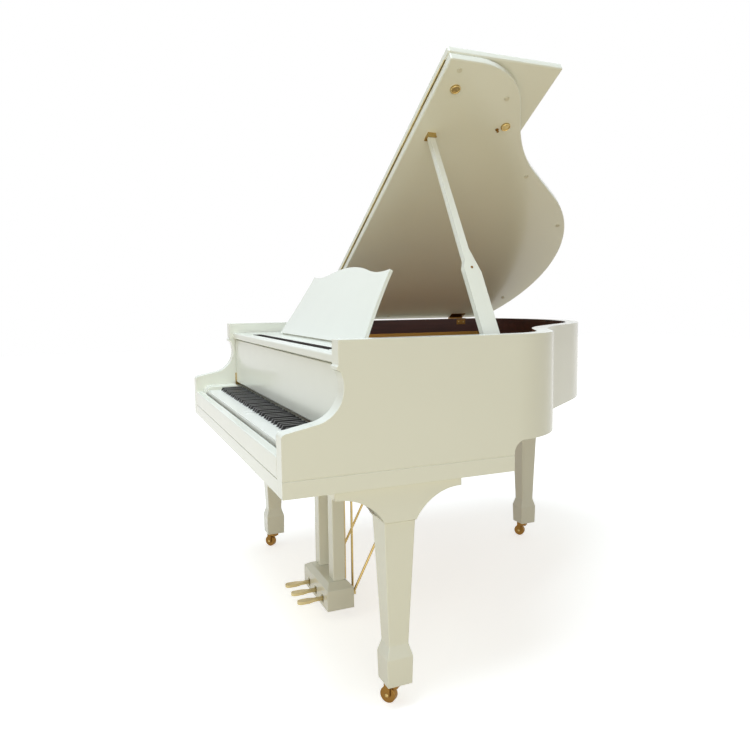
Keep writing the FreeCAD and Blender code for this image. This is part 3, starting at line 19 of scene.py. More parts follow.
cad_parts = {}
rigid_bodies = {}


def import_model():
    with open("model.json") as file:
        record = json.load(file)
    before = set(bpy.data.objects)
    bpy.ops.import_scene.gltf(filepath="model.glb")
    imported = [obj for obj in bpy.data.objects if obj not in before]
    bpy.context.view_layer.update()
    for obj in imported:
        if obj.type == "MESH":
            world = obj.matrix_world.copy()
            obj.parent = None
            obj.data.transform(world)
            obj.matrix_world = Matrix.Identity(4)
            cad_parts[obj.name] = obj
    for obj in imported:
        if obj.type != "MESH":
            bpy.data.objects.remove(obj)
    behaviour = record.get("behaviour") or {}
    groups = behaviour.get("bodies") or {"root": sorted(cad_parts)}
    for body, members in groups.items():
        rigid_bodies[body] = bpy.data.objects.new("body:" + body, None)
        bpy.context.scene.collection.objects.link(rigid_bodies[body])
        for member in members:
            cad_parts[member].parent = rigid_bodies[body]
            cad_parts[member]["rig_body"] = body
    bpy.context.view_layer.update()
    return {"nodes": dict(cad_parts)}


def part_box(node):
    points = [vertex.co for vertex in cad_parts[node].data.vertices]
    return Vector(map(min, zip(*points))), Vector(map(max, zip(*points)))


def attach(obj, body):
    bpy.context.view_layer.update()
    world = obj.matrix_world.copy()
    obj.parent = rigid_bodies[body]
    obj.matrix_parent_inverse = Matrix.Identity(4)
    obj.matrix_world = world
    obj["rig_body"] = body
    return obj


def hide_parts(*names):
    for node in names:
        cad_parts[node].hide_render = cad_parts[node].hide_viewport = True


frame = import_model()
LOG = logging.getLogger("baby_grand")
Colour = tuple[float, float, float]
Item = TypeVar("Item")
MERGE = 0.00001
FLAT = math.radians(0.3)
ABOVE = 5.0
SCREW_SIDES = 18
SCREW_TAPER = 0.84
SLOT_SHARE = 0.14
SLOT_DEPTH = 0.7
RING_SIDES = 10
RING_STEPS = 36


class Slot(Enum):
    """Material slots of the record."""

    LACQUER = "white_lacquer"
    MAHOGANY = "mahogany"
    BEECH = "beech"
    SPRUCE = "spruce"
    GILT = "gold_iron"
    BRASS = "brass"
    STEEL = "steel_wire"
    COPPER = "copper_wire"
    KEY_WHITE = "key_white"
    KEY_BLACK = "key_black"
    HAMMER = "hammer_wood"
    DAMPER = "damper_black"
    RUBBER = "bumper_rubber"


class Axis(Enum):
    """Direction in which a wood's grain runs."""

    X = (0.0, 0.0, math.pi / 2)
    Y = (0.0, 0.0, 0.0)


def linear(red: int, green: int, blue: int) -> Colour:
    """Linear light from screen values.

    Args:
        red, green, blue: values from 0 to 255.

    Returns:
        The same colour for a shader socket.
    """
    def one(value: int) -> float:
        """One of the three values."""
        share = value / 255
        return share / 12.92 if share <= 0.04045 else ((share + 0.055) / 1.055) ** 2.4

    return one(red), one(green), one(blue)


class Wire:
    """A shader socket that can stand in sums: each operator adds a Math node."""

    def __init__(self, tree: bpy.types.NodeTree, socket: bpy.types.NodeSocket) -> None:
        """Hold a socket and the tree that it belongs to."""
        self.tree = tree
        self.socket = socket

    def _math(self, operation: str, first: "Wire | float", second: "Wire | float") -> "Wire":
        """Add a Math node.

        Args:
            operation: the node's operation.
            first, second: its two values.

        Returns:
            The node's result.
        """
        node = self.tree.nodes.new("ShaderNodeMath")
        node.operation = operation
        for entry, value in zip(node.inputs, (first, second)):
            if isinstance(value, Wire):
                self.tree.links.new(value.socket, entry)
            else:
                entry.default_value = value
        return Wire(self.tree, node.outputs[0])

    def __add__(self, other: "Wire | float") -> "Wire":
        """Sum."""
        return self._math("ADD", self, other)

    def __radd__(self, other: float) -> "Wire":
        """Sum, from the right."""
        return self._math("ADD", other, self)

    def __mul__(self, other: "Wire | float") -> "Wire":
        """Product."""
        return self._math("MULTIPLY", self, other)

    def __rmul__(self, other: float) -> "Wire":
        """Product, from the right."""
        return self._math("MULTIPLY", other, self)

    def __gt__(self, other: "Wire | float") -> "Wire":
        """1 where this is the greater, else 0."""
        return self._math("GREATER_THAN", self, other)


class Paint:
    """One material's node tree around a Principled shader."""

    def __init__(self, name: str) -> None:
        """Start an empty material.

        Args:
            name: the material's name.
        """
        self.material = bpy.data.materials.new(name)
        self.material.use_nodes = True
        self.tree = self.material.node_tree
        self.tree.nodes.clear()
        self.output = self.tree.nodes.new("ShaderNodeOutputMaterial")
        self.shader = self.tree.nodes.new("ShaderNodeBsdfPrincipled")
        self.tree.links.new(self.shader.outputs[0], self.output.inputs["Surface"])

    def feed(self, entry: bpy.types.NodeSocket, value: object) -> None:
        """Link a wire to a socket, or set a plain value on it.

        Args:
            entry: the socket.
            value: a wire, number or colour.
        """
        if isinstance(value, Wire):
            self.tree.links.new(value.socket, entry)
        elif isinstance(value, tuple) and len(value) == 3 and len(entry.default_value) == 4:
            entry.default_value = (*value, 1.0)
        else:
            entry.default_value = value

    def add(self, kind: str, settings: dict[str, object] | None = None,
            sockets: dict[str | int, object] | None = None, out: str | int = 0) -> Wire:
        """Add a node.

        Args:
            kind: the node's type, without its prefix.
            settings: properties set first; "stops" are a ramp's places and colours.
            sockets: values or wires for its entries.
            out: which of its results is wanted.

        Returns:
            That result.
        """
        node = self.tree.nodes.new("ShaderNode" + kind)
        for key, value in (settings or {}).items():
            if key == "stops":
                ramp = node.color_ramp.elements
                while len(ramp) < len(value):
                    ramp.new(0.5)
                for stop, (place, colour) in zip(ramp, value):
                    stop.position = place
                    stop.color = (*colour, 1.0)
            else:
                setattr(node, key, value)
        for key, value in (sockets or {}).items():
            self.feed(node.inputs[key], value)
        return Wire(self.tree, node.outputs[out])

    def coords(self, scale: Colour = (1.0, 1.0, 1.0), turn: Colour = (0.0, 0.0, 0.0)) -> Wire:
        """Object coordinates, turned and stretched."""
        place = self.add("TexCoord", out="Object")
        return self.add("Mapping", {}, {"Vector": place, "Rotation": turn, "Scale": scale})

    def noise(self, scale: float, detail: float = 2.0, vector: Wire | None = None,
              rough: float = 0.5) -> Wire:
        """Noise from 0 to 1.

        Args:
            scale: features per metre.
            detail: octaves.
            vector: coordinates, or None for plain ones.
            rough: how much the fine octaves count.

        Returns:
            Its value.
        """
        entries: dict[str | int, object] = {"Scale": scale, "Detail": detail, "Roughness": rough}
        entries["Vector"] = vector if vector is not None else self.coords()
        return self.add("TexNoise", {}, entries)

    def ramp(self, factor: Wire, stops: Sequence[tuple[float, Colour]]) -> Wire:
        """Colours along a factor."""
        return self.add("ValToRGB", {"stops": stops}, {"Fac": factor})

    def mix(self, factor: Wire | float, first: object, second: object) -> Wire:
        """Blend of two colours."""
        return self.add("MixRGB", {}, {"Fac": factor, "Color1": first, "Color2": second})

    def bump(self, height: Wire, depth: float, strength: float = 1.0) -> None:
        """Feed the shader's normal from a height in units of depth metres."""
        normal = self.add("Bump", {}, {"Height": height, "Distance": depth, "Strength": strength})
        self.feed(self.shader.inputs["Normal"], normal)

    def set(self, **values: object) -> None:
        """Set the shader's sockets, with _ for a space in each name."""
        for key, value in values.items():
            self.feed(self.shader.inputs[key.replace("_", " ").title().replace("Ior", "IOR")], value)


@dataclass(frozen=True)
class Lacquer:
    """Thick polished lacquer over wood."""

    name: str
    tint: Colour
    shade: Colour
    slot: Slot
    gloss: float = 0.16
    peel: float = 0.00004
    coat: float = 0.35

    def make(self) -> bpy.types.Material:
        """Build the material.

        Returns:
            The material.
        """
        paint = Paint(self.name)
        cloud = paint.noise(1.7, 3.0)
        paint.set(base_color=paint.mix(cloud, self.tint, self.shade))
        haze = paint.noise(9.0, 4.0)
        paint.set(roughness=self.gloss + haze * 0.12)
        paint.set(coat_weight=self.coat, coat_roughness=0.12, coat_ior=1.45, specular_ior_level=0.25)
        paint.bump(paint.noise(75.0, 2.0), self.peel, 0.35)
        return paint.material


@dataclass(frozen=True)
class Wood:
    """Planed or veneered wood with its grain along one axis."""

    name: str
    pale: Colour
    dark: Colour
    slot: Slot
    grain: Axis = Axis.Y
    ring: float = 55.0
    gloss: float = 0.45
    coat: float = 0.0

    def make(self) -> bpy.types.Material:
        """Build the material.

        Returns:
            The material.
        """
        paint = Paint(self.name)
        run = paint.coords((1.0, 0.06, 1.0), self.grain.value)
        figure = paint.noise(self.ring, 4.0, run, 0.6)
        pores = paint.noise(self.ring * 14, 2.0, run, 0.7)
        broad = paint.noise(3.0, 2.0, run)
        mask = figure * 0.65 + broad * 0.25 + pores * 0.18
        middle = tuple((a + b) / 2 for a, b in zip(self.pale, self.dark))
        paint.set(base_color=paint.ramp(mask, [(0.32, self.dark), (0.5, middle), (0.68, self.pale)]))
        paint.set(roughness=self.gloss + pores * 0.2)
        paint.set(coat_weight=self.coat, coat_roughness=0.12)
        paint.bump(pores, 0.00008, 0.5)
        return paint.material


@dataclass(frozen=True)
class Metal:
    """Polished or drawn metal with faint handling marks."""

    name: str
    colour: Colour
    dull: Colour
    slot: Slot
    rough: float = 0.18
    grit: float = 0.00002
    scale: float = 60.0

    def make(self) -> bpy.types.Material:
        """Build the material.

        Returns:
            The material.
        """
        paint = Paint(self.name)
        tarnish = paint.noise(self.scale * 0.25, 5.0)
        scratch = paint.noise(self.scale * 20, 2.0, paint.coords((1.0, 0.08, 1.0)))
        paint.set(base_color=paint.mix(tarnish * 0.6, self.colour, self.dull))
        paint.set(metallic=1.0, roughness=self.rough + tarnish * 0.14 + scratch * 0.06)
        paint.bump(scratch, self.grit, 0.4)
        return paint.material


@dataclass(frozen=True)
class Gilt:
    """Bronze lacquer sprayed on rough cast iron."""

    name: str
    bright: Colour
    deep: Colour
    slot: Slot = Slot.GILT

    def make(self) -> bpy.types.Material:
        """Build the material.

        Returns:
            The material.
        """
        paint = Paint(self.name)
        cloud = paint.noise(6.0, 4.0)
        sand = paint.noise(420.0, 3.0)
        paint.set(base_color=paint.mix(cloud * 0.7 + sand * 0.3, self.bright, self.deep))
        paint.set(metallic=0.85, roughness=0.3 + sand * 0.22, coat_weight=0.35, coat_roughness=0.15)
        paint.bump(sand, 0.00025, 0.5)
        return paint.material


@dataclass(frozen=True)
class Plastic:
    """Moulded key covering."""

    name: str
    tint: Colour
    shade: Colour
    slot: Slot
    rough: float = 0.22
    coat: float = 0.3

    def make(self) -> bpy.types.Material:
        """Build the material.

        Returns:
            The material.
        """
        paint = Paint(self.name)
        streak = paint.noise(120.0, 4.0, paint.coords((1.0, 0.12, 1.0)))
        worn = paint.noise(14.0, 3.0)
        paint.set(base_color=paint.mix(streak * 0.5 + worn * 0.5, self.tint, self.shade))
        paint.set(roughness=self.rough + worn * 0.14, coat_weight=self.coat, coat_roughness=0.1)
        paint.bump(streak, 0.00003, 0.3)
        return paint.material


@dataclass(frozen=True)
class Felt:
    """Pressed wool felt."""

    name: str
    tint: Colour
    shade: Colour
    slot: Slot

    def make(self) -> bpy.types.Material:
        """Build the material.

        Returns:
            The material.
        """
        paint = Paint(self.name)
        fibre = paint.noise(900.0, 5.0, rough=0.7)
        wad = paint.noise(120.0, 3.0)
        paint.set(base_color=paint.mix(fibre * 0.6 + wad * 0.4, self.tint, self.shade))
        paint.set(roughness=0.92, sheen_weight=0.4, sheen_roughness=0.5)
        paint.bump(fibre, 0.0004, 0.7)
        return paint.material


@dataclass(frozen=True)
class Rubber:
    """Dull moulded rubber."""

    name: str
    tint: Colour
    shade: Colour
    slot: Slot = Slot.RUBBER

    def make(self) -> bpy.types.Material:
        """Build the material.

        Returns:
            The material.
        """
        paint = Paint(self.name)
        dust = paint.noise(300.0, 4.0)
        paint.set(base_color=paint.mix(dust, self.tint, self.shade))
        paint.set(roughness=0.7 + dust * 0.2)
        paint.bump(dust, 0.0001, 0.4)
        return paint.material


Finish = Lacquer | Wood | Metal | Gilt | Plastic | Felt | Rubber

WHITE = Lacquer("white_lacquer", linear(238, 238, 227), linear(232, 232, 219), Slot.LACQUER)
VENEER = Wood("mahogany_veneer", linear(84, 44, 36), linear(40, 22, 19), Slot.MAHOGANY, Axis.Y,
              60.0, 0.35, 0.25)
RUNNER = Wood("runner_wood", linear(124, 74, 50), linear(72, 38, 26), Slot.MAHOGANY, Axis.Y, 50.0)
BEECH_X = Wood("beech_across", linear(206, 166, 122), linear(160, 116, 76), Slot.BEECH, Axis.X)
BEECH_Y = Wood("beech_along", linear(206, 166, 122), linear(160, 116, 76), Slot.BEECH, Axis.Y)
SPRUCE = Wood("spruce_board", linear(226, 190, 132), linear(184, 138, 82), Slot.SPRUCE, Axis.X,
              90.0, 0.3, 0.3)
GILT = Gilt("gilt_iron", linear(214, 168, 88), linear(176, 128, 58))
BRASS = Metal("polished_brass", linear(206, 180, 120), linear(150, 120, 66), Slot.BRASS)
PALE_BRASS = Metal("pedal_brass", linear(214, 198, 150), linear(166, 142, 92), Slot.BRASS, 0.22)
# Brass darker than BRASS: painted shade that stands in for the darker reflections the white surroundings
# don't give.
SHADED_BRASS = Metal("shaded_brass", linear(158, 118, 60), linear(84, 56, 26), Slot.BRASS, 0.26)
STEEL = Metal("bright_steel", linear(206, 206, 206), linear(150, 150, 152), Slot.STEEL, 0.22)
COPPER = Metal("copper_winding", linear(210, 136, 92), linear(150, 88, 56), Slot.COPPER, 0.3)
IVORY = Plastic("white_key", linear(244, 243, 236), linear(236, 234, 224), Slot.KEY_WHITE)
EBONY = Plastic("black_key", linear(36, 34, 34), linear(22, 20, 21), Slot.KEY_BLACK, 0.3, 0.25)
HAMMER_FELT = Felt("hammer_felt", linear(236, 230, 214), linear(214, 206, 186), Slot.HAMMER)
HAMMER_WOOD = Wood("hammer_maple", linear(220, 188, 142), linear(186, 148, 100), Slot.HAMMER, Axis.Y, 80.0)
DAMPER_BLACK = Lacquer("damper_black", linear(34, 32, 32), linear(24, 22, 22), Slot.DAMPER, 0.3)
DAMPER_FELT = Felt("damper_felt", linear(238, 234, 224), linear(216, 210, 196), Slot.DAMPER)
RED_FELT = Felt("red_felt", linear(150, 34, 36), linear(112, 22, 26), Slot.HAMMER)
BUMPER = Rubber("bumper_rubber", linear(226, 223, 206), linear(206, 201, 182))
KEY_WOOD = Wood("key_wood", linear(214, 184, 138), linear(180, 144, 98), Slot.KEY_WHITE, Axis.Y, 90.0)
# Dark brown for the tray's finger-slot walls: painted shade that stands in for the shadow deep in the slot.
SLOT_SHADE = Wood("slot_painted_shade", linear(46, 31, 25), linear(20, 13, 11), Slot.MAHOGANY, Axis.X, 60.0, 0.6)


class Stores:
    """Materials made so far, one for each finish."""

    def __init__(self) -> None:
        """Start with none."""
        self.made: dict[str, bpy.types.Material] = {}

    def get(self, finish: Finish) -> bpy.types.Material:
        """The material of a finish, made at its first use.

        Args:
            finish: the finish.

        Returns:
            Its material.
        """
        if finish.name not in self.made:
            self.made[finish.name] = finish.make()
        return self.made[finish.name]


STORES = Stores()


def body_of(node: str) -> str:
    """The CAD body that a node belongs to."""
    return frame["nodes"][node]["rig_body"]


def dress(node: str, finish: Finish) -> None:
    """Give a CAD node that stays a finish.

    Args:
        node: the CAD node.
        finish: its finish.
    """
    item = frame["nodes"][node]
    item.data.materials.clear()
    item.data.materials.append(STORES.get(finish))


def whole(node: str) -> bmesh.types.BMesh:
    """Copy of a CAD node with its corners merged and its flat faces joined.

    Args:
        node: the CAD node.

    Returns:
        The copy's mesh.
    """
    mesh = bmesh.new()
    mesh.from_mesh(frame["nodes"][node].data)
    bmesh.ops.remove_doubles(mesh, verts=mesh.verts[:], dist=MERGE)
    bmesh.ops.dissolve_limit(mesh, angle_limit=FLAT, use_dissolve_boundaries=False,
                             verts=mesh.verts[:], edges=mesh.edges[:], delimit=set())
    for face in mesh.faces:
        face.material_index = 0
    return mesh


def finished(name: str, mesh: bmesh.types.BMesh, body: str, finishes: Sequence[Finish],
             width: float = 0.0, segments: int = 3, stands_for: Sequence[str] = (),
             limit: float = 32.0, shortest: float = 0.0) -> bpy.types.Object:
    """Make an object of a mesh, soften its edges and let it ride.

    Args:
        name: the piece's name.
        mesh: its mesh, in place; it is used up.
        body: the CAD body that it moves with.
        finishes: its finishes, in the order of its material indices.
        width: how wide its edges are rounded, in metres; 0 leaves them.
        segments: steps of the rounding.
        stands_for: CAD nodes that it stands for.
        limit: edges sharper than this angle, in degrees, are rounded.
        shortest: edges shorter than this stay as they are.

    Returns:
        The new object.
    """
    if shortest:
        weights = mesh.edges.layers.float.new("bevel_weight_edge")
        for edge in mesh.edges:
            sharp = len(edge.link_faces) == 2 and edge.calc_face_angle() > math.radians(limit)
            edge[weights] = float(sharp and edge.calc_length() >= shortest)
    data = bpy.data.meshes.new(name)
    mesh.to_mesh(data)
    mesh.free()
    for finish in finishes:
        data.materials.append(STORES.get(finish))
    data.polygons.foreach_set("use_smooth", [True] * len(data.polygons))
    item = bpy.data.objects.new(name, data)
    bpy.context.scene.collection.objects.link(item)
    if width:
        edge = item.modifiers.new("soft_edges", "BEVEL")
        edge.width = width
        edge.segments = segments
        edge.limit_method = "WEIGHT" if shortest else "ANGLE"
        edge.angle_limit = math.radians(limit)
        flat = item.modifiers.new("flat_faces", "WEIGHTED_NORMAL")
        flat.mode = "FACE_AREA"
        flat.weight = 100
    else:
        data.set_sharp_from_angle(angle=math.radians(limit))
    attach(item, body)
    if stands_for:
        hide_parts(*stands_for)
    LOG.info("%s rides %s, %d faces", name, body, len(data.polygons))
    return item


def soften(node: str, finish: Finish, width: float, segments: int = 3,
           paint: Callable[[bmesh.types.BMesh], None] | None = None,
           others: Sequence[Finish] = (), limit: float = 32.0, shortest: float = 0.0) -> bpy.types.Object:
    """Stand a copy with softened edges in for a CAD node.

    Args:
        node: the CAD node.
        finish: its main finish.
        width: rounding of its edges.
        segments: steps of the rounding.
        paint: sets the material index of faces that take another finish.
        others: those other finishes.
        limit: edges sharper than this angle, in degrees, are rounded.
        shortest: edges shorter than this stay as they are.

    Returns:
        The copy.
    """
    mesh = whole(node)
    if paint:
        paint(mesh)
    return finished(node + "_piece", mesh, body_of(node), [finish, *others], width, segments, [node], limit,
                    shortest)


def at(place: Vector, facing: Vector) -> Matrix:
    """Placement that turns +Z to a direction at a place."""
    return Matrix.Translation(place) @ facing.to_track_quat("Z", "Y").to_matrix().to_4x4()


def once(items: Iterable[Item]) -> list[Item]:
    """Each item once, in the order in which it first comes."""
    return list(dict.fromkeys(items))


def groups_of(mesh: bmesh.types.BMesh) -> list[list[bmesh.types.BMVert]]:
    """The corners of each separate piece in a mesh.

    Args:
        mesh: the mesh.

    Returns:
        A list of corners for each piece.
    """
    left = set(mesh.verts)
    groups = []
    for first in mesh.verts:
        if first not in left:
            continue
        left.discard(first)
        group = [first]
        for vert in group:
            near = [edge.other_vert(vert) for edge in vert.link_edges]
            fresh = [v for v in near if v in left]
            left.difference_update(fresh)
            group.extend(once(fresh))
        groups.append(group)
    return groups


def block(mesh: bmesh.types.BMesh, low: Vector, high: Vector, turn: Matrix | None = None) -> None:
    """Add an oblong block.

    Args:
        mesh: the mesh it is added to.
        low, high: its opposite corners.
        turn: placement applied to it afterwards.
    """
    size = Vector(high) - Vector(low)
    middle = (Vector(high) + Vector(low)) / 2
    place = Matrix.Translation(middle) @ Matrix.Diagonal((*size, 1.0))
    bmesh.ops.create_cube(mesh, size=1.0, matrix=turn @ place if turn else place)


def pin(mesh: bmesh.types.BMesh, place: Vector, facing: Vector, radius: float, height: float,
        tip: float = 0.8, sides: int = 8) -> None:
    """Add a pin that narrows towards its tip.

    Args:
        mesh: the mesh it is added to.
        place: middle of its foot.
        facing: direction that it points in.
        radius: radius of its foot.
        height: length.
        tip: share of the radius at its tip.
        sides: number of its sides.
    """
    lift = Matrix.Translation((0, 0, height / 2))
    bmesh.ops.create_cone(mesh, cap_ends=True, segments=sides, radius1=radius,
                          radius2=radius * tip, depth=height, matrix=at(place, facing) @ lift)


def screw(mesh: bmesh.types.BMesh, place: Vector, facing: Vector, radius: float, height: float,
          slot_turn: float = 0.6) -> None:
    """Add a slotted screw head.

    Args:
        mesh: the mesh it is added to.
        place: middle of its seat.
        facing: direction that it faces.
        radius: radius of the head.
        height: how far it stands proud.
        slot_turn: angle of the slot.
    """
    slot = radius * SLOT_SHARE
    before = set(mesh.verts)
    bmesh.ops.create_cone(mesh, cap_ends=True, segments=SCREW_SIDES, radius1=radius,
                          radius2=radius * SCREW_TAPER, depth=height,
                          matrix=Matrix.Translation((0, 0, height / 2)))
    for side in (-slot, slot):
        head = [v for v in mesh.verts if v not in before]
        edges = once(e for v in head for e in v.link_edges)
        parts = head + edges + once(f for v in head for f in v.link_faces)
        bmesh.ops.bisect_plane(mesh, geom=parts, plane_co=(side, 0, 0), plane_no=(1, 0, 0))
    head = [v for v in mesh.verts if v not in before]
    strip = [f for f in once(f for v in head for f in v.link_faces)
             if f.normal.z > 0.9 and abs(f.calc_center_median().x) < slot]
    sunk = bmesh.ops.extrude_discrete_faces(mesh, faces=strip)["faces"]
    corners = once(v for f in sunk for v in f.verts)
    bmesh.ops.translate(mesh, verts=corners, vec=(0, 0, -height * SLOT_DEPTH))
    head = [v for v in mesh.verts if v not in before]
    bmesh.ops.transform(mesh, matrix=at(place, facing) @ Matrix.Rotation(slot_turn, 4, "Z"), verts=head)


def ring(mesh: bmesh.types.BMesh, place: Vector, facing: Vector, radius: float, thick: float) -> None:
    """Add a round ring that lies on a face.

    Args:
        mesh: the mesh it is added to.
        place: its middle.
        facing: direction that the face looks in.
        radius: radius of its middle line.
        thick: radius of its section.
    """
    before = set(mesh.verts)
    upright = Matrix.Translation((radius, 0, 0)) @ Matrix.Rotation(math.pi / 2, 4, "X")
    section = bmesh.ops.create_circle(mesh, cap_ends=False, segments=RING_SIDES, radius=thick,
                                      matrix=upright)["verts"]
    edges = once(e for v in section for e in v.link_edges)
    bmesh.ops.spin(mesh, geom=section + edges, cent=(0, 0, 0), axis=(0, 0, 1), dvec=(0, 0, 0),
                   angle=2 * math.pi, steps=RING_STEPS, use_merge=True, use_duplicate=False)
    fresh = [v for v in mesh.verts if v not in before]
    bmesh.ops.recalc_face_normals(mesh, faces=once(f for v in fresh for f in v.link_faces))
    bmesh.ops.transform(mesh, matrix=at(place, facing), verts=fresh)


@dataclass
class CaseShell:
    """Rims, braces, keybed, key slip, key blocks, front rail and tray runners."""

    edge: float = 0.0035
    veneer_from: float = -0.262
    inside: float = 0.02
    upright: float = 0.3
    wall: float = -0.695
    strap_y: tuple[float, ...] = (-0.020, 0.494)
    strap_half: float = 0.024
    strap_low: float = 0.972
    strap_high: float = 0.996
    strap_thick: float = 0.0018
    strap_screw: tuple[float, float] = (0.0042, 0.0012)
    strap_screw_at: float = 0.55
    strap_turns: tuple[tuple[int, float], ...] = ((-1, 0.4), (1, 1.3))
    cheek_low: Colour = (0.6165, -0.7455, 0.708)
    cheek_high: Colour = (0.6262, -0.6115, 0.7262)

    def veneer_inside(self, mesh: bmesh.types.BMesh) -> None:
        """Give the rim's inner walls behind the front rail the veneer's index.

        Args:
            mesh: the copy's mesh.
        """
        everything = mesh.verts[:] + mesh.edges[:] + mesh.faces[:]
        bmesh.ops.bisect_plane(mesh, geom=everything, plane_co=(0, self.veneer_from, 0), plane_no=(0, 1, 0))
        field = bmesh.new()
        field.from_mesh(frame["nodes"]["soundboard"].data)
        field.from_mesh(frame["nodes"]["keybed"].data)
        tree = BVHTree.FromBMesh(field)
        for face in mesh.faces:
            spot = face.calc_center_median()
            if abs(face.normal.z) > self.upright or spot.y < self.veneer_from:
                continue
            probe = spot + face.normal * self.inside
            if tree.ray_cast(Vector((probe.x, probe.y, ABOVE)), Vector((0, 0, -1)))[0]:
                face.material_index = 1
        field.free()

    def straps(self) -> None:
        """Screw a brass strap under each lid hinge, inside the rim."""
        plates, heads = bmesh.new(), bmesh.new()
        face = self.wall + self.strap_thick
        level = (self.strap_low + self.strap_high) / 2
        for y in self.strap_y:
            block(plates, (self.wall, y - self.strap_half, self.strap_low),
                  (face, y + self.strap_half, self.strap_high))
            for side, turn in self.strap_turns:
                spot = Vector((face, y + side * self.strap_half * self.strap_screw_at, level))
                screw(heads, spot, Vector((1, 0, 0)), *self.strap_screw, turn)
        finished("hinge_straps", plates, "case", [SHADED_BRASS], width=0.0006, segments=2)
        finished("hinge_strap_screws", heads, "case", [BRASS], width=0.0002, segments=1)

    def key_cheeks(self) -> None:
        """Strips that close the gap between the keys and their end blocks."""
        strips = bmesh.new()
        low, high = self.cheek_low, self.cheek_high
        block(strips, low, high)
        block(strips, (-high[0], *low[1:]), (-low[0], *high[1:]))
        finished("key_cheeks", strips, "case", [WHITE], width=0.001, segments=2)

    def build(self) -> None:
        """Make the pieces."""
        self.straps()
        self.key_cheeks()
        soften("outer_rim", WHITE, width=self.edge, segments=4, paint=self.veneer_inside, others=[VENEER])
        soften("key_slip", WHITE, width=0.004, segments=4)
        soften("key_blocks", WHITE, width=0.003)
        soften("front_stretcher", WHITE, width=0.006, segments=5)
        soften("inner_rim", BEECH_Y, width=0.002, segments=2)
        soften("rim_braces", BEECH_Y, width=0.003, segments=2)
        soften("keybed", WHITE, width=0.002, segments=2, shortest=0.006)
        soften("tray_runners", RUNNER, width=0.001, segments=2)


@dataclass
class Lid:
    """Main lid, front flap, their hinges, cups and bumpers."""

    edge: float = 0.0055
    hinge: Colour = (-0.753, 0.0, 1.002)
    angle: float = 30.8
    leaf_y: tuple[float, ...] = (-0.020, 0.494)
    leaf_under: float = 0.0002
    leaf_screws: tuple[tuple[int, float], ...] = ((-1, 0.030), (0, 0.018), (1, 0.030))
    leaf_step: float = 0.024
    leaf_screw: tuple[float, float] = (0.0036, 0.00014)
    cups: tuple[tuple[float, float], ...] = ((1.405, -0.153), (1.280, 0.091))
    cup_under: float = -0.003
    cup_rim: tuple[float, float] = (0.0138, 0.0022)
    cup_screw: tuple[float, float] = (0.0026, 0.0008)
    cup_screw_out: float = 0.0075
    cup_turn: float = 0.9
    catch: tuple[float, float] = (1.263, 0.068)
    catch_steps: tuple[tuple[float, ...], ...] = ((0.002, 0.006, 0.004, 0.9), (-0.002, 0.0035, 0.007, 1.2))
    catch_sides: int = 16

    def spot(self, out: float, y: float, over: float) -> Vector:
        """A place on the open lid.

        Args:
            out: distance from the hinge.
            y: place along it.
            over: height over the underside's plane.

        Returns:
            The place.
        """
        turn = math.radians(self.angle)
        return Vector(self.hinge) + Vector((math.cos(turn) * out - math.sin(turn) * over, y,
                                            math.sin(turn) * out + math.cos(turn) * over))

    def under(self) -> Vector:
        """The direction that the lid's underside faces."""
        turn = math.radians(self.angle)
        return Vector((math.sin(turn), 0, -math.cos(turn)))

    def fittings(self) -> None:
        """Screws of the hinge leaves and cups, and the small catch beside a cup."""
        heads, catch, rims = bmesh.new(), bmesh.new(), bmesh.new()
        for y in self.leaf_y:
            for step, out in self.leaf_screws:
                place = self.spot(out, y + step * self.leaf_step, self.leaf_under)
                screw(heads, place, self.under(), *self.leaf_screw, 0.5 + step)
        for out, y in self.cups:
            ring(rims, self.spot(out, y, self.cup_under), self.under(), *self.cup_rim)
            for side in (-1, 1):
                place = self.spot(out + side * self.cup_screw_out, y, self.cup_under)
                screw(heads, place, self.under(), *self.cup_screw, self.cup_turn)
        for over, radius, height, tip in self.catch_steps:
            pin(catch, self.spot(*self.catch, over), self.under(), radius, height, tip, self.catch_sides)
        finished("cup_rims", rims, "lid", [BRASS], limit=60)
        finished("lid_screws", heads, "lid", [BRASS])
        finished("lid_catch", catch, "lid", [SHADED_BRASS], width=0.0006, segments=2)

    def build(self) -> None:
        """Make the pieces."""
        soften("main_lid", WHITE, width=self.edge, segments=5)
        soften("front_flap", WHITE, width=self.edge, segments=5)
        for node in ("flap_hinge_lid_leaf", "flap_hinge_flap_leaf"):
            soften(node, PALE_BRASS, width=0.0002, segments=1)
        for node in ("lid_hinge_rim_leaves", "lid_hinge_lid_leaves"):
            soften(node, SHADED_BRASS, width=0.0006, segments=2)
        soften("prop_cups", BRASS, width=0.0)
        soften("lid_bumpers", BUMPER, width=0.001, segments=2)
        self.fittings()


@dataclass
class Prop:
    """Lid prop, half prop and bracket."""

    edge: float = 0.003
    pivot: Colour = (0.672, -0.153, 0.955)
    lean: float = 30.35
    half: float = 0.010
    knob: tuple[float, float] = (0.266, 0.004)
    knob_screw: tuple[float, float] = (0.0042, 0.0016)
    flat_limit: float = 12

    def fittings(self) -> None:
        """The small screw that keeps the half prop in its place."""
        turn = math.radians(self.lean)
        face = Vector((math.cos(turn), 0, math.sin(turn)))
        rise = Vector((-math.sin(turn), 0, math.cos(turn)))
        up, side = self.knob
        heads = bmesh.new()
        place = Vector(self.pivot) + rise * up + face * self.half + Vector((0, side, 0))
        screw(heads, place, face, *self.knob_screw)
        finished("prop_screw", heads, body_of("lid_prop"), [SHADED_BRASS])

    def build(self) -> None:
        """Make the pieces."""
        soften("lid_prop", WHITE, width=self.edge, segments=3, limit=self.flat_limit)
        soften("half_prop", WHITE, width=self.edge, segments=3, limit=self.flat_limit)
        soften("prop_bracket", BRASS, width=0.0008, segments=2)
        self.fittings()


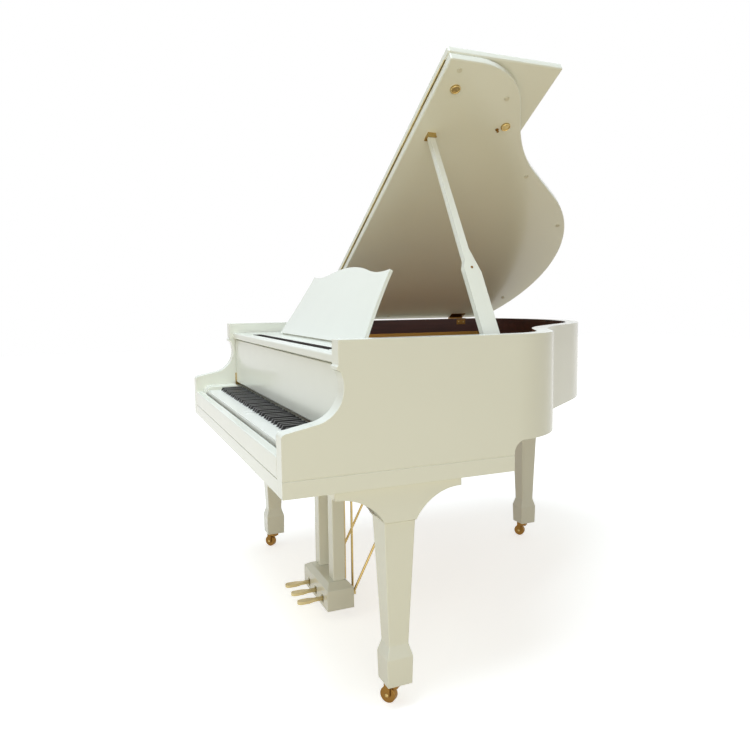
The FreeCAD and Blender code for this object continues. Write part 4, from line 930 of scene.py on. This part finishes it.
@dataclass
class MusicStand:
    """Tray, desk and strut."""

    edge: float = 0.005
    slot_half: float = 0.495
    slot_front: float = -0.5755
    slot_back: float = -0.544
    slot_slack: tuple[float, float] = (0.002, 0.0005)
    upright: float = 0.5

    def paint_slot_shade(self, mesh: bmesh.types.BMesh) -> None:
        """Give the finger slot's walls the index of the dark painted shade.

        Args:
            mesh: the copy's mesh.
        """
        for face in mesh.faces:
            spot = face.calc_center_median()
            if (abs(face.normal.z) < self.upright and abs(spot.x) < self.slot_half + self.slot_slack[0]
                    and self.slot_front < spot.y < self.slot_back + self.slot_slack[1]):
                face.material_index = 1

    def build(self) -> None:
        """Make the pieces."""
        # The finger slot's walls take the dark brown painted shade.
        soften("music_tray", WHITE, width=0.0012, segments=2, paint=self.paint_slot_shade, others=[SLOT_SHADE])
        soften("music_desk", WHITE, width=self.edge, segments=4)
        soften("desk_strut", BRASS, width=0.0006, segments=2)


@dataclass
class KeyDeck:
    """Keys, fallboard, its pivots and the board behind it."""

    cover_end: float = -0.570
    plate_x: float = 0.693
    plate_y: float = -0.604
    plate_z: tuple[float, ...] = (0.7435, 0.7810)
    plate_screw: tuple[float, float] = (0.0034, 0.0008)
    board_low: Colour = (-0.6945, -0.5840, 0.7335)
    board_high: Colour = (0.6945, -0.5775, 0.9345)

    def tails(self, mesh: bmesh.types.BMesh) -> None:
        """Give the keys' tails, behind their coverings, the wood's index.

        Args:
            mesh: the copy's mesh.
        """
        everything = mesh.verts[:] + mesh.edges[:] + mesh.faces[:]
        bmesh.ops.bisect_plane(mesh, geom=everything, plane_co=(0, self.cover_end, 0), plane_no=(0, 1, 0))
        for face in mesh.faces:
            if face.calc_center_median().y > self.cover_end:
                face.material_index = 1

    def plate_screws(self) -> None:
        """Screws of the fallboard's pivot plates."""
        heads = bmesh.new()
        for side in (-1, 1):
            for z in self.plate_z:
                place = Vector((side * self.plate_x, self.plate_y, z))
                screw(heads, place, Vector((-side, 0, 0)), *self.plate_screw, slot_turn=z)
        finished("pivot_plate_screws", heads, "case", [SHADED_BRASS])

    def back_board(self) -> None:
        """The thin board behind the fallboard, which hides the hammers when it is closed."""
        board = bmesh.new()
        block(board, self.board_low, self.board_high)
        finished("key_back_board", board, "case", [WHITE], width=0.001, segments=2)

    def build(self) -> None:
        """Make the pieces."""
        soften("white_keys", IVORY, width=0.0009, segments=2, paint=self.tails, others=[KEY_WOOD])
        soften("black_keys", EBONY, width=0.0016, segments=3, paint=self.tails, others=[KEY_WOOD])
        soften("fallboard", WHITE, width=0.004, segments=4, shortest=0.5)
        soften("fallboard_pivots", BRASS, width=0.0008, segments=2)
        self.plate_screws()
        self.back_board()


@dataclass
class StringBed:
    """Soundboard, plate, bridges, pins, strings and dampers."""

    bass_end: float = -0.30
    felt_high: float = 0.007
    heads_over: tuple[float, float] = (0.87, 0.885)
    felt_slack: float = 0.0005
    plate_top: float = 0.878
    stud_y: float = -0.331
    cloth_front: float = -0.363
    cloth_back: float = -0.341
    cloth_side: float = 0.008
    cloth_under: float = 0.0002
    stud_half: tuple[float, float] = (0.0032, 0.0026)
    stud_over: float = 0.0032
    hitch_radius: float = 0.0017
    hitch_behind: float = 0.0016
    hitch_lean: float = 0.25
    hitch_over: float = 0.0045
    pin_radius: float = 0.0009
    pin_inset: float = 0.003
    pin_high: float = 0.0042
    bridge_steps: int = 240
    bridge_reach: float = 0.006
    strings: tuple[tuple[str, str, float], ...] = (("plain_strings", "long_bridge", 0.0007),
                                                   ("bass_strings", "bass_bridge", 0.0015))

    def felted(self, mesh: bmesh.types.BMesh) -> None:
        """Give the lower part of each damper head the felt's index.

        Args:
            mesh: the copy's mesh.
        """
        plain = min(v.co.z for v in mesh.verts if v.co.x > self.bass_end and v.co.z > self.heads_over[0])
        bass = min(v.co.z for v in mesh.verts if v.co.x < self.bass_end and v.co.z > self.heads_over[1])
        for level, side in ((plain, 1), (bass, -1)):
            group = [f for f in mesh.faces if (f.calc_center_median().x - self.bass_end) * side > 0]
            edges = once(e for f in group for e in f.edges)
            parts = group + edges + once(v for f in group for v in f.verts)
            bmesh.ops.bisect_plane(mesh, geom=parts, plane_co=(0, 0, level + self.felt_high),
                                   plane_no=(0, 0, 1))
            for face in mesh.faces:
                spot = face.calc_center_median()
                within = level - self.felt_slack < spot.z < level + self.felt_high
                if (spot.x - self.bass_end) * side > 0 and within:
                    face.material_index = 1

    def wires(self, node: str) -> list[tuple[Vector, Vector]]:
        """Front and back end of each string of a node.

        Args:
            node: the strings' CAD node.

        Returns:
            A pair of ends for each string.
        """
        mesh = whole(node)
        ends = []
        for group in groups_of(mesh):
            middle = sum(v.co.y for v in group) / len(group)
            front = [v.co for v in group if v.co.y < middle]
            back = [v.co for v in group if v.co.y >= middle]
            ends.append((sum(front, Vector()) / len(front), sum(back, Vector()) / len(back)))
        mesh.free()
        return ends

    def crossing(self, bridge: BVHTree, front: Vector, back: Vector) -> list[Vector]:
        """Where a string comes onto a bridge and leaves it, on the bridge's top.

        Args:
            bridge: the bridge's faces.
            front, back: the string's ends.

        Returns:
            The two places, or none.
        """
        over = []
        for step in range(self.bridge_steps):
            spot = front.lerp(back, step / self.bridge_steps)
            hit = bridge.ray_cast(spot, Vector((0, 0, -1)), self.bridge_reach)[0]
            if hit:
                over.append(hit)
        return [over[0], over[-1]] if over else []

    def pins_and_studs(self) -> None:
        """Studs that the strings pass through, bridge pins, hitch pins and the cloth under the strings."""
        studs, pins, hitches, cloth = (bmesh.new() for _ in range(4))
        up = Vector((0, 0, 1))
        wide, deep = self.stud_half
        for node, bridge_node, radius in self.strings:
            bed = bmesh.new()
            bed.from_mesh(frame["nodes"][bridge_node].data)
            bridge = BVHTree.FromBMesh(bed)
            across = []
            for front, back in self.wires(node):
                way = (back - front).normalized()
                side = way.cross(up)
                stud = front.lerp(back, (self.stud_y - front.y) / (back.y - front.y))
                along = way.to_track_quat("Y", "Z").to_matrix().to_4x4()
                turn = Matrix.Translation((stud.x, stud.y, 0)) @ along
                block(studs, (-wide, -deep, self.plate_top), (wide, deep, stud.z + self.stud_over), turn)
                across.append(front.lerp(back, (self.cloth_back - front.y) / (back.y - front.y)))
                foot = Vector((back.x, back.y, self.plate_top)) + way * self.hitch_behind
                pin(hitches, foot, up - way * self.hitch_lean, self.hitch_radius,
                    back.z - self.plate_top + self.hitch_over)
                for place, hand in zip(self.crossing(bridge, front, back), (1, -1)):
                    inner = place + way * (self.pin_inset * hand) + side * (hand * (radius + self.pin_radius))
                    pin(pins, inner, up, self.pin_radius, self.pin_high, sides=6)
            bed.free()
            low, high = (min(p.x for p in across), max(p.x for p in across))
            top = across[0].z - radius - self.cloth_under
            block(cloth, (low - self.cloth_side, self.cloth_front, self.plate_top),
                  (high + self.cloth_side, self.cloth_back, top))
        finished("string_studs", studs, "case", [BRASS], width=0.0007, segments=1)
        finished("bridge_pins", pins, "case", [BRASS])
        finished("hitch_pins", hitches, "case", [STEEL])
        finished("string_cloth", cloth, "case", [RED_FELT], width=0.0002, segments=1)

    def build(self) -> None:
        """Make the pieces."""
        self.pins_and_studs()
        dress("soundboard", SPRUCE)
        dress("soundboard_ribs", SPRUCE)
        soften("iron_plate", GILT, width=0.0015, segments=2, shortest=0.05)
        soften("plate_bolts", BRASS, width=0.0012, segments=2)
        soften("pinblock", BEECH_X, width=0.001, segments=2)
        soften("long_bridge", BEECH_Y, width=0.0015, segments=2)
        soften("bass_bridge", BEECH_X, width=0.0015, segments=2)
        soften("tuning_pins", STEEL, width=0.0004, segments=1)
        soften("plain_strings", STEEL, width=0.0)
        soften("bass_strings", COPPER, width=0.0)
        soften("dampers", DAMPER_BLACK, width=0.0006, segments=1, paint=self.felted, others=[DAMPER_FELT])


@dataclass
class Action:
    """Key frame, rails and hammers."""

    head_from: float = -0.332

    def felted(self, mesh: bmesh.types.BMesh) -> None:
        """Give the hammer heads the felt's index.

        Args:
            mesh: the copy's mesh.
        """
        for face in mesh.faces:
            if face.calc_center_median().y > self.head_from:
                face.material_index = 1

    def build(self) -> None:
        """Make the pieces."""
        soften("key_frame", BEECH_X, width=0.001, segments=2)
        soften("action_rails", BEECH_X, width=0.001, segments=2)
        for node in ("white_hammers", "black_hammers"):
            soften(node, HAMMER_WOOD, width=0.0006, segments=1, paint=self.felted, others=[HAMMER_FELT])


@dataclass
class Legs:
    """Three legs on brass casters."""

    names: tuple[str, ...] = ("front_bass", "front_treble", "rear")
    edge: float = 0.003
    cap_radius: float = 0.0055
    cap_high: float = 0.0022
    cap_tip: float = 0.6
    cap_sides: int = 18
    fork_top: float = 0.07
    axle_near: float = 0.012

    def axle_caps(self, name: str) -> None:
        """Domed ends of a caster's axle, on its fork.

        Args:
            name: the caster's name.
        """
        low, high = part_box("caster_wheel_" + name)
        middle = (Vector(low) + Vector(high)) / 2
        corners = [v.co for v in frame["nodes"]["caster_fork_" + name].data.vertices]
        top = [v for v in corners if v.z > self.fork_top]
        trail = middle - sum(top, Vector()) / len(top)
        axle = Vector((trail.x, trail.y, 0)).normalized().cross(Vector((0, 0, 1)))
        reach = max((v - middle).dot(axle) for v in corners if abs(v.z - middle.z) < self.axle_near)
        caps = bmesh.new()
        for side in (-1, 1):
            pin(caps, middle + axle * (side * reach), axle * side, self.cap_radius, self.cap_high,
                self.cap_tip, self.cap_sides)
        finished("axle_caps_" + name, caps, body_of("caster_fork_" + name), [BRASS], width=0.0006, segments=2)

    def build(self) -> None:
        """Make the pieces."""
        for name in self.names:
            soften("leg_" + name, WHITE, width=self.edge, segments=3, limit=13, shortest=0.012)
            # Forks and wheels take the darkened brass, painted shade in place of darker reflections.
            soften("caster_fork_" + name, SHADED_BRASS, width=0.0012, segments=3)
            soften("caster_wheel_" + name, SHADED_BRASS, width=0.0015, segments=3)
            self.axle_caps(name)


@dataclass
class Lyre:
    """Pedal box, posts, pedals, rods and braces."""

    names: tuple[str, ...] = ("soft", "sostenuto", "damper")

    def build(self) -> None:
        """Make the pieces."""
        soften("lyre_box", WHITE, width=0.003, segments=3, limit=20, shortest=0.02)
        soften("lyre_posts", WHITE, width=0.003)
        soften("lyre_braces", BRASS, width=0.0008, segments=2)
        for name in self.names:
            soften("pedal_" + name, PALE_BRASS, width=0.0032, segments=4)
            soften("pedal_rod_" + name, BRASS, width=0.0006, segments=2)


@dataclass(frozen=True)
class Softbox:
    """A square area light: where it stands, what it faces, its side, watts and tint."""

    name: str
    place: Colour
    target: Colour
    size: float
    power: float
    tint: Colour

    def build(self) -> None:
        """Hang the light."""
        data = bpy.data.lights.new(self.name, "AREA")
        data.size = self.size
        data.energy = self.power
        data.color = self.tint
        item = bpy.data.objects.new(self.name, data)
        aim = (Vector(self.target) - Vector(self.place)).to_track_quat("-Z", "Y")
        item.matrix_world = Matrix.Translation(self.place) @ aim.to_matrix().to_4x4()
        item.visible_camera = False
        bpy.context.scene.collection.objects.link(item)


@dataclass
class Studio:
    """Floor, light and camera."""

    lens: float = 33.709
    shift: tuple[float, float] = (-0.0445, -0.0174)
    eye: Colour = (2.3628, -1.1822, 1.0957)
    yaw: float = 65.565
    pitch: float = -5.071
    roll: float = -0.498
    # Floor glow near the piano and far off, and the distances between which it rises: the dimmer glow near
    # the piano is painted shade.
    floor_glow: tuple[float, float] = (0.62, 0.80)
    floor_pool: tuple[float, float] = (1.1, 2.6)
    bounce: Colour = (0.80, 0.66, 0.42)
    sky: Colour = (0.98, 1.0, 0.95)
    sky_light: float = 0.30
    floor_size: float = 14
    floor_tint: Colour = (0.82, 0.82, 0.8)
    floor_rough: float = 0.9
    sensor: float = 36
    lamps: tuple[Softbox, ...] = (
        Softbox("front_light", (0.8, -5.0, 2.4), (0, -0.4, 0.7), 4.0, 26, (0.80, 0.88, 1.0)),
        Softbox("top_light", (0.4, -1.2, 5.2), (0.1, -0.4, 0.8), 3.0, 180, (0.74, 0.87, 1.0)),
        Softbox("side_light", (5.6, -2.2, 1.4), (0, 0.0, 1.1), 3.9, 104, (1.0, 0.99, 0.90)),
    )

    def camera(self) -> None:
        """Stand the camera where the photograph was taken."""
        yaw, pitch, roll = (math.radians(a) for a in (self.yaw, self.pitch, self.roll))
        ahead = Vector((-math.sin(yaw) * math.cos(pitch), math.cos(yaw) * math.cos(pitch),
                        math.sin(pitch)))
        level = Vector((math.cos(yaw), math.sin(yaw), 0))
        lift = level.cross(ahead)
        right = level * math.cos(roll) + lift * math.sin(roll)
        up = lift * math.cos(roll) - level * math.sin(roll)
        data = bpy.data.cameras.new("photo_camera")
        data.sensor_width = self.sensor
        data.lens = self.lens
        data.shift_x, data.shift_y = self.shift
        item = bpy.data.objects.new("photo_camera", data)
        turn = Matrix((right, up, -ahead)).transposed().to_4x4()
        item.matrix_world = Matrix.Translation(self.eye) @ turn
        bpy.context.scene.collection.objects.link(item)
        bpy.context.scene.camera = item

    def seen(self, tree: bpy.types.NodeTree) -> Wire:
        """1 for the rays that show the background, 0 for those that light.

        Args:
            tree: the nodes it is added to.

        Returns:
            The choice as a wire.
        """
        path = tree.nodes.new("ShaderNodeLightPath")
        kinds = ("Is Camera Ray", "Is Glossy Ray", "Is Transmission Ray")
        eye, gloss, clear = (Wire(tree, path.outputs[kind]) for kind in kinds)
        return (eye + gloss + clear) > 0.5

    def world(self) -> None:
        """White to the eye, softer as light."""
        world = bpy.data.worlds.new("studio")
        bpy.context.scene.world = world
        world.use_nodes = True
        tree = world.node_tree
        tree.nodes.clear()
        out = tree.nodes.new("ShaderNodeOutputWorld")
        choice = tree.nodes.new("ShaderNodeMixShader")
        glow = [tree.nodes.new("ShaderNodeBackground") for _ in range(2)]
        glow[0].inputs["Color"].default_value = (*self.sky, 1)
        glow[0].inputs["Strength"].default_value = self.sky_light
        glow[1].inputs["Strength"].default_value = 1.0
        glow[1].inputs["Color"].default_value = (1, 1, 1, 1)
        tree.links.new(self.seen(tree).socket, choice.inputs[0])
        tree.links.new(glow[0].outputs[0], choice.inputs[1])
        tree.links.new(glow[1].outputs[0], choice.inputs[2])
        tree.links.new(choice.outputs[0], out.inputs[0])

    def floor(self) -> None:
        """A pale floor that keeps the shadow and is white around it; its glow is dimmer near the piano,
        painted shade that deepens the shadow.
        """
        mesh = bmesh.new()
        bmesh.ops.create_grid(mesh, x_segments=1, y_segments=1, size=self.floor_size)
        data = bpy.data.meshes.new("floor")
        mesh.to_mesh(data)
        mesh.free()
        item = bpy.data.objects.new("floor", data)
        bpy.context.scene.collection.objects.link(item)
        paint = Paint("pale_floor")
        paint.set(base_color=self.floor_tint, roughness=self.floor_rough)
        plain = Wire(paint.tree, paint.shader.outputs[0])
        spot = paint.add("TexCoord", out="Object")
        away = paint.add("VectorMath", {"operation": "LENGTH"}, {0: spot}, out="Value")
        # Glow rises with distance from the middle: a dimmer pool around the piano, painted shade that deepens
        # its shadow.
        level = paint.add("MapRange", {"interpolation_type": "SMOOTHSTEP"},
                          {"Value": away, "From Min": self.floor_pool[0], "From Max": self.floor_pool[1],
                           "To Min": self.floor_glow[0], "To Max": self.floor_glow[1]})
        glow = paint.add("Emission", {}, {"Color": level})
        shown = paint.add("AddShader", {}, {0: plain, 1: glow})
        bounce = paint.add("BsdfDiffuse", {}, {"Color": self.bounce})
        both = paint.add("MixShader", {}, {0: self.seen(paint.tree), 1: bounce, 2: shown})
        paint.feed(paint.output.inputs["Surface"], both)
        data.materials.append(paint.material)

    def build(self) -> None:
        """Set the whole studio up."""
        scene = bpy.context.scene
        scene.view_settings.view_transform = "Standard"
        self.world()
        self.floor()
        self.camera()
        for lamp in self.lamps:
            lamp.build()


def main() -> None:
    """Build every sub-assembly in order, then the studio."""
    logging.basicConfig(level=logging.INFO, format="%(name)s: %(message)s")
    assemblies = (CaseShell(), Lid(), Prop(), MusicStand(), KeyDeck(), StringBed(), Action(), Legs(), Lyre())
    for assembly in assemblies:
        LOG.info("building %s", type(assembly).__name__)
        assembly.build()
    Studio().build()


if __name__ == "__main__":
    main()
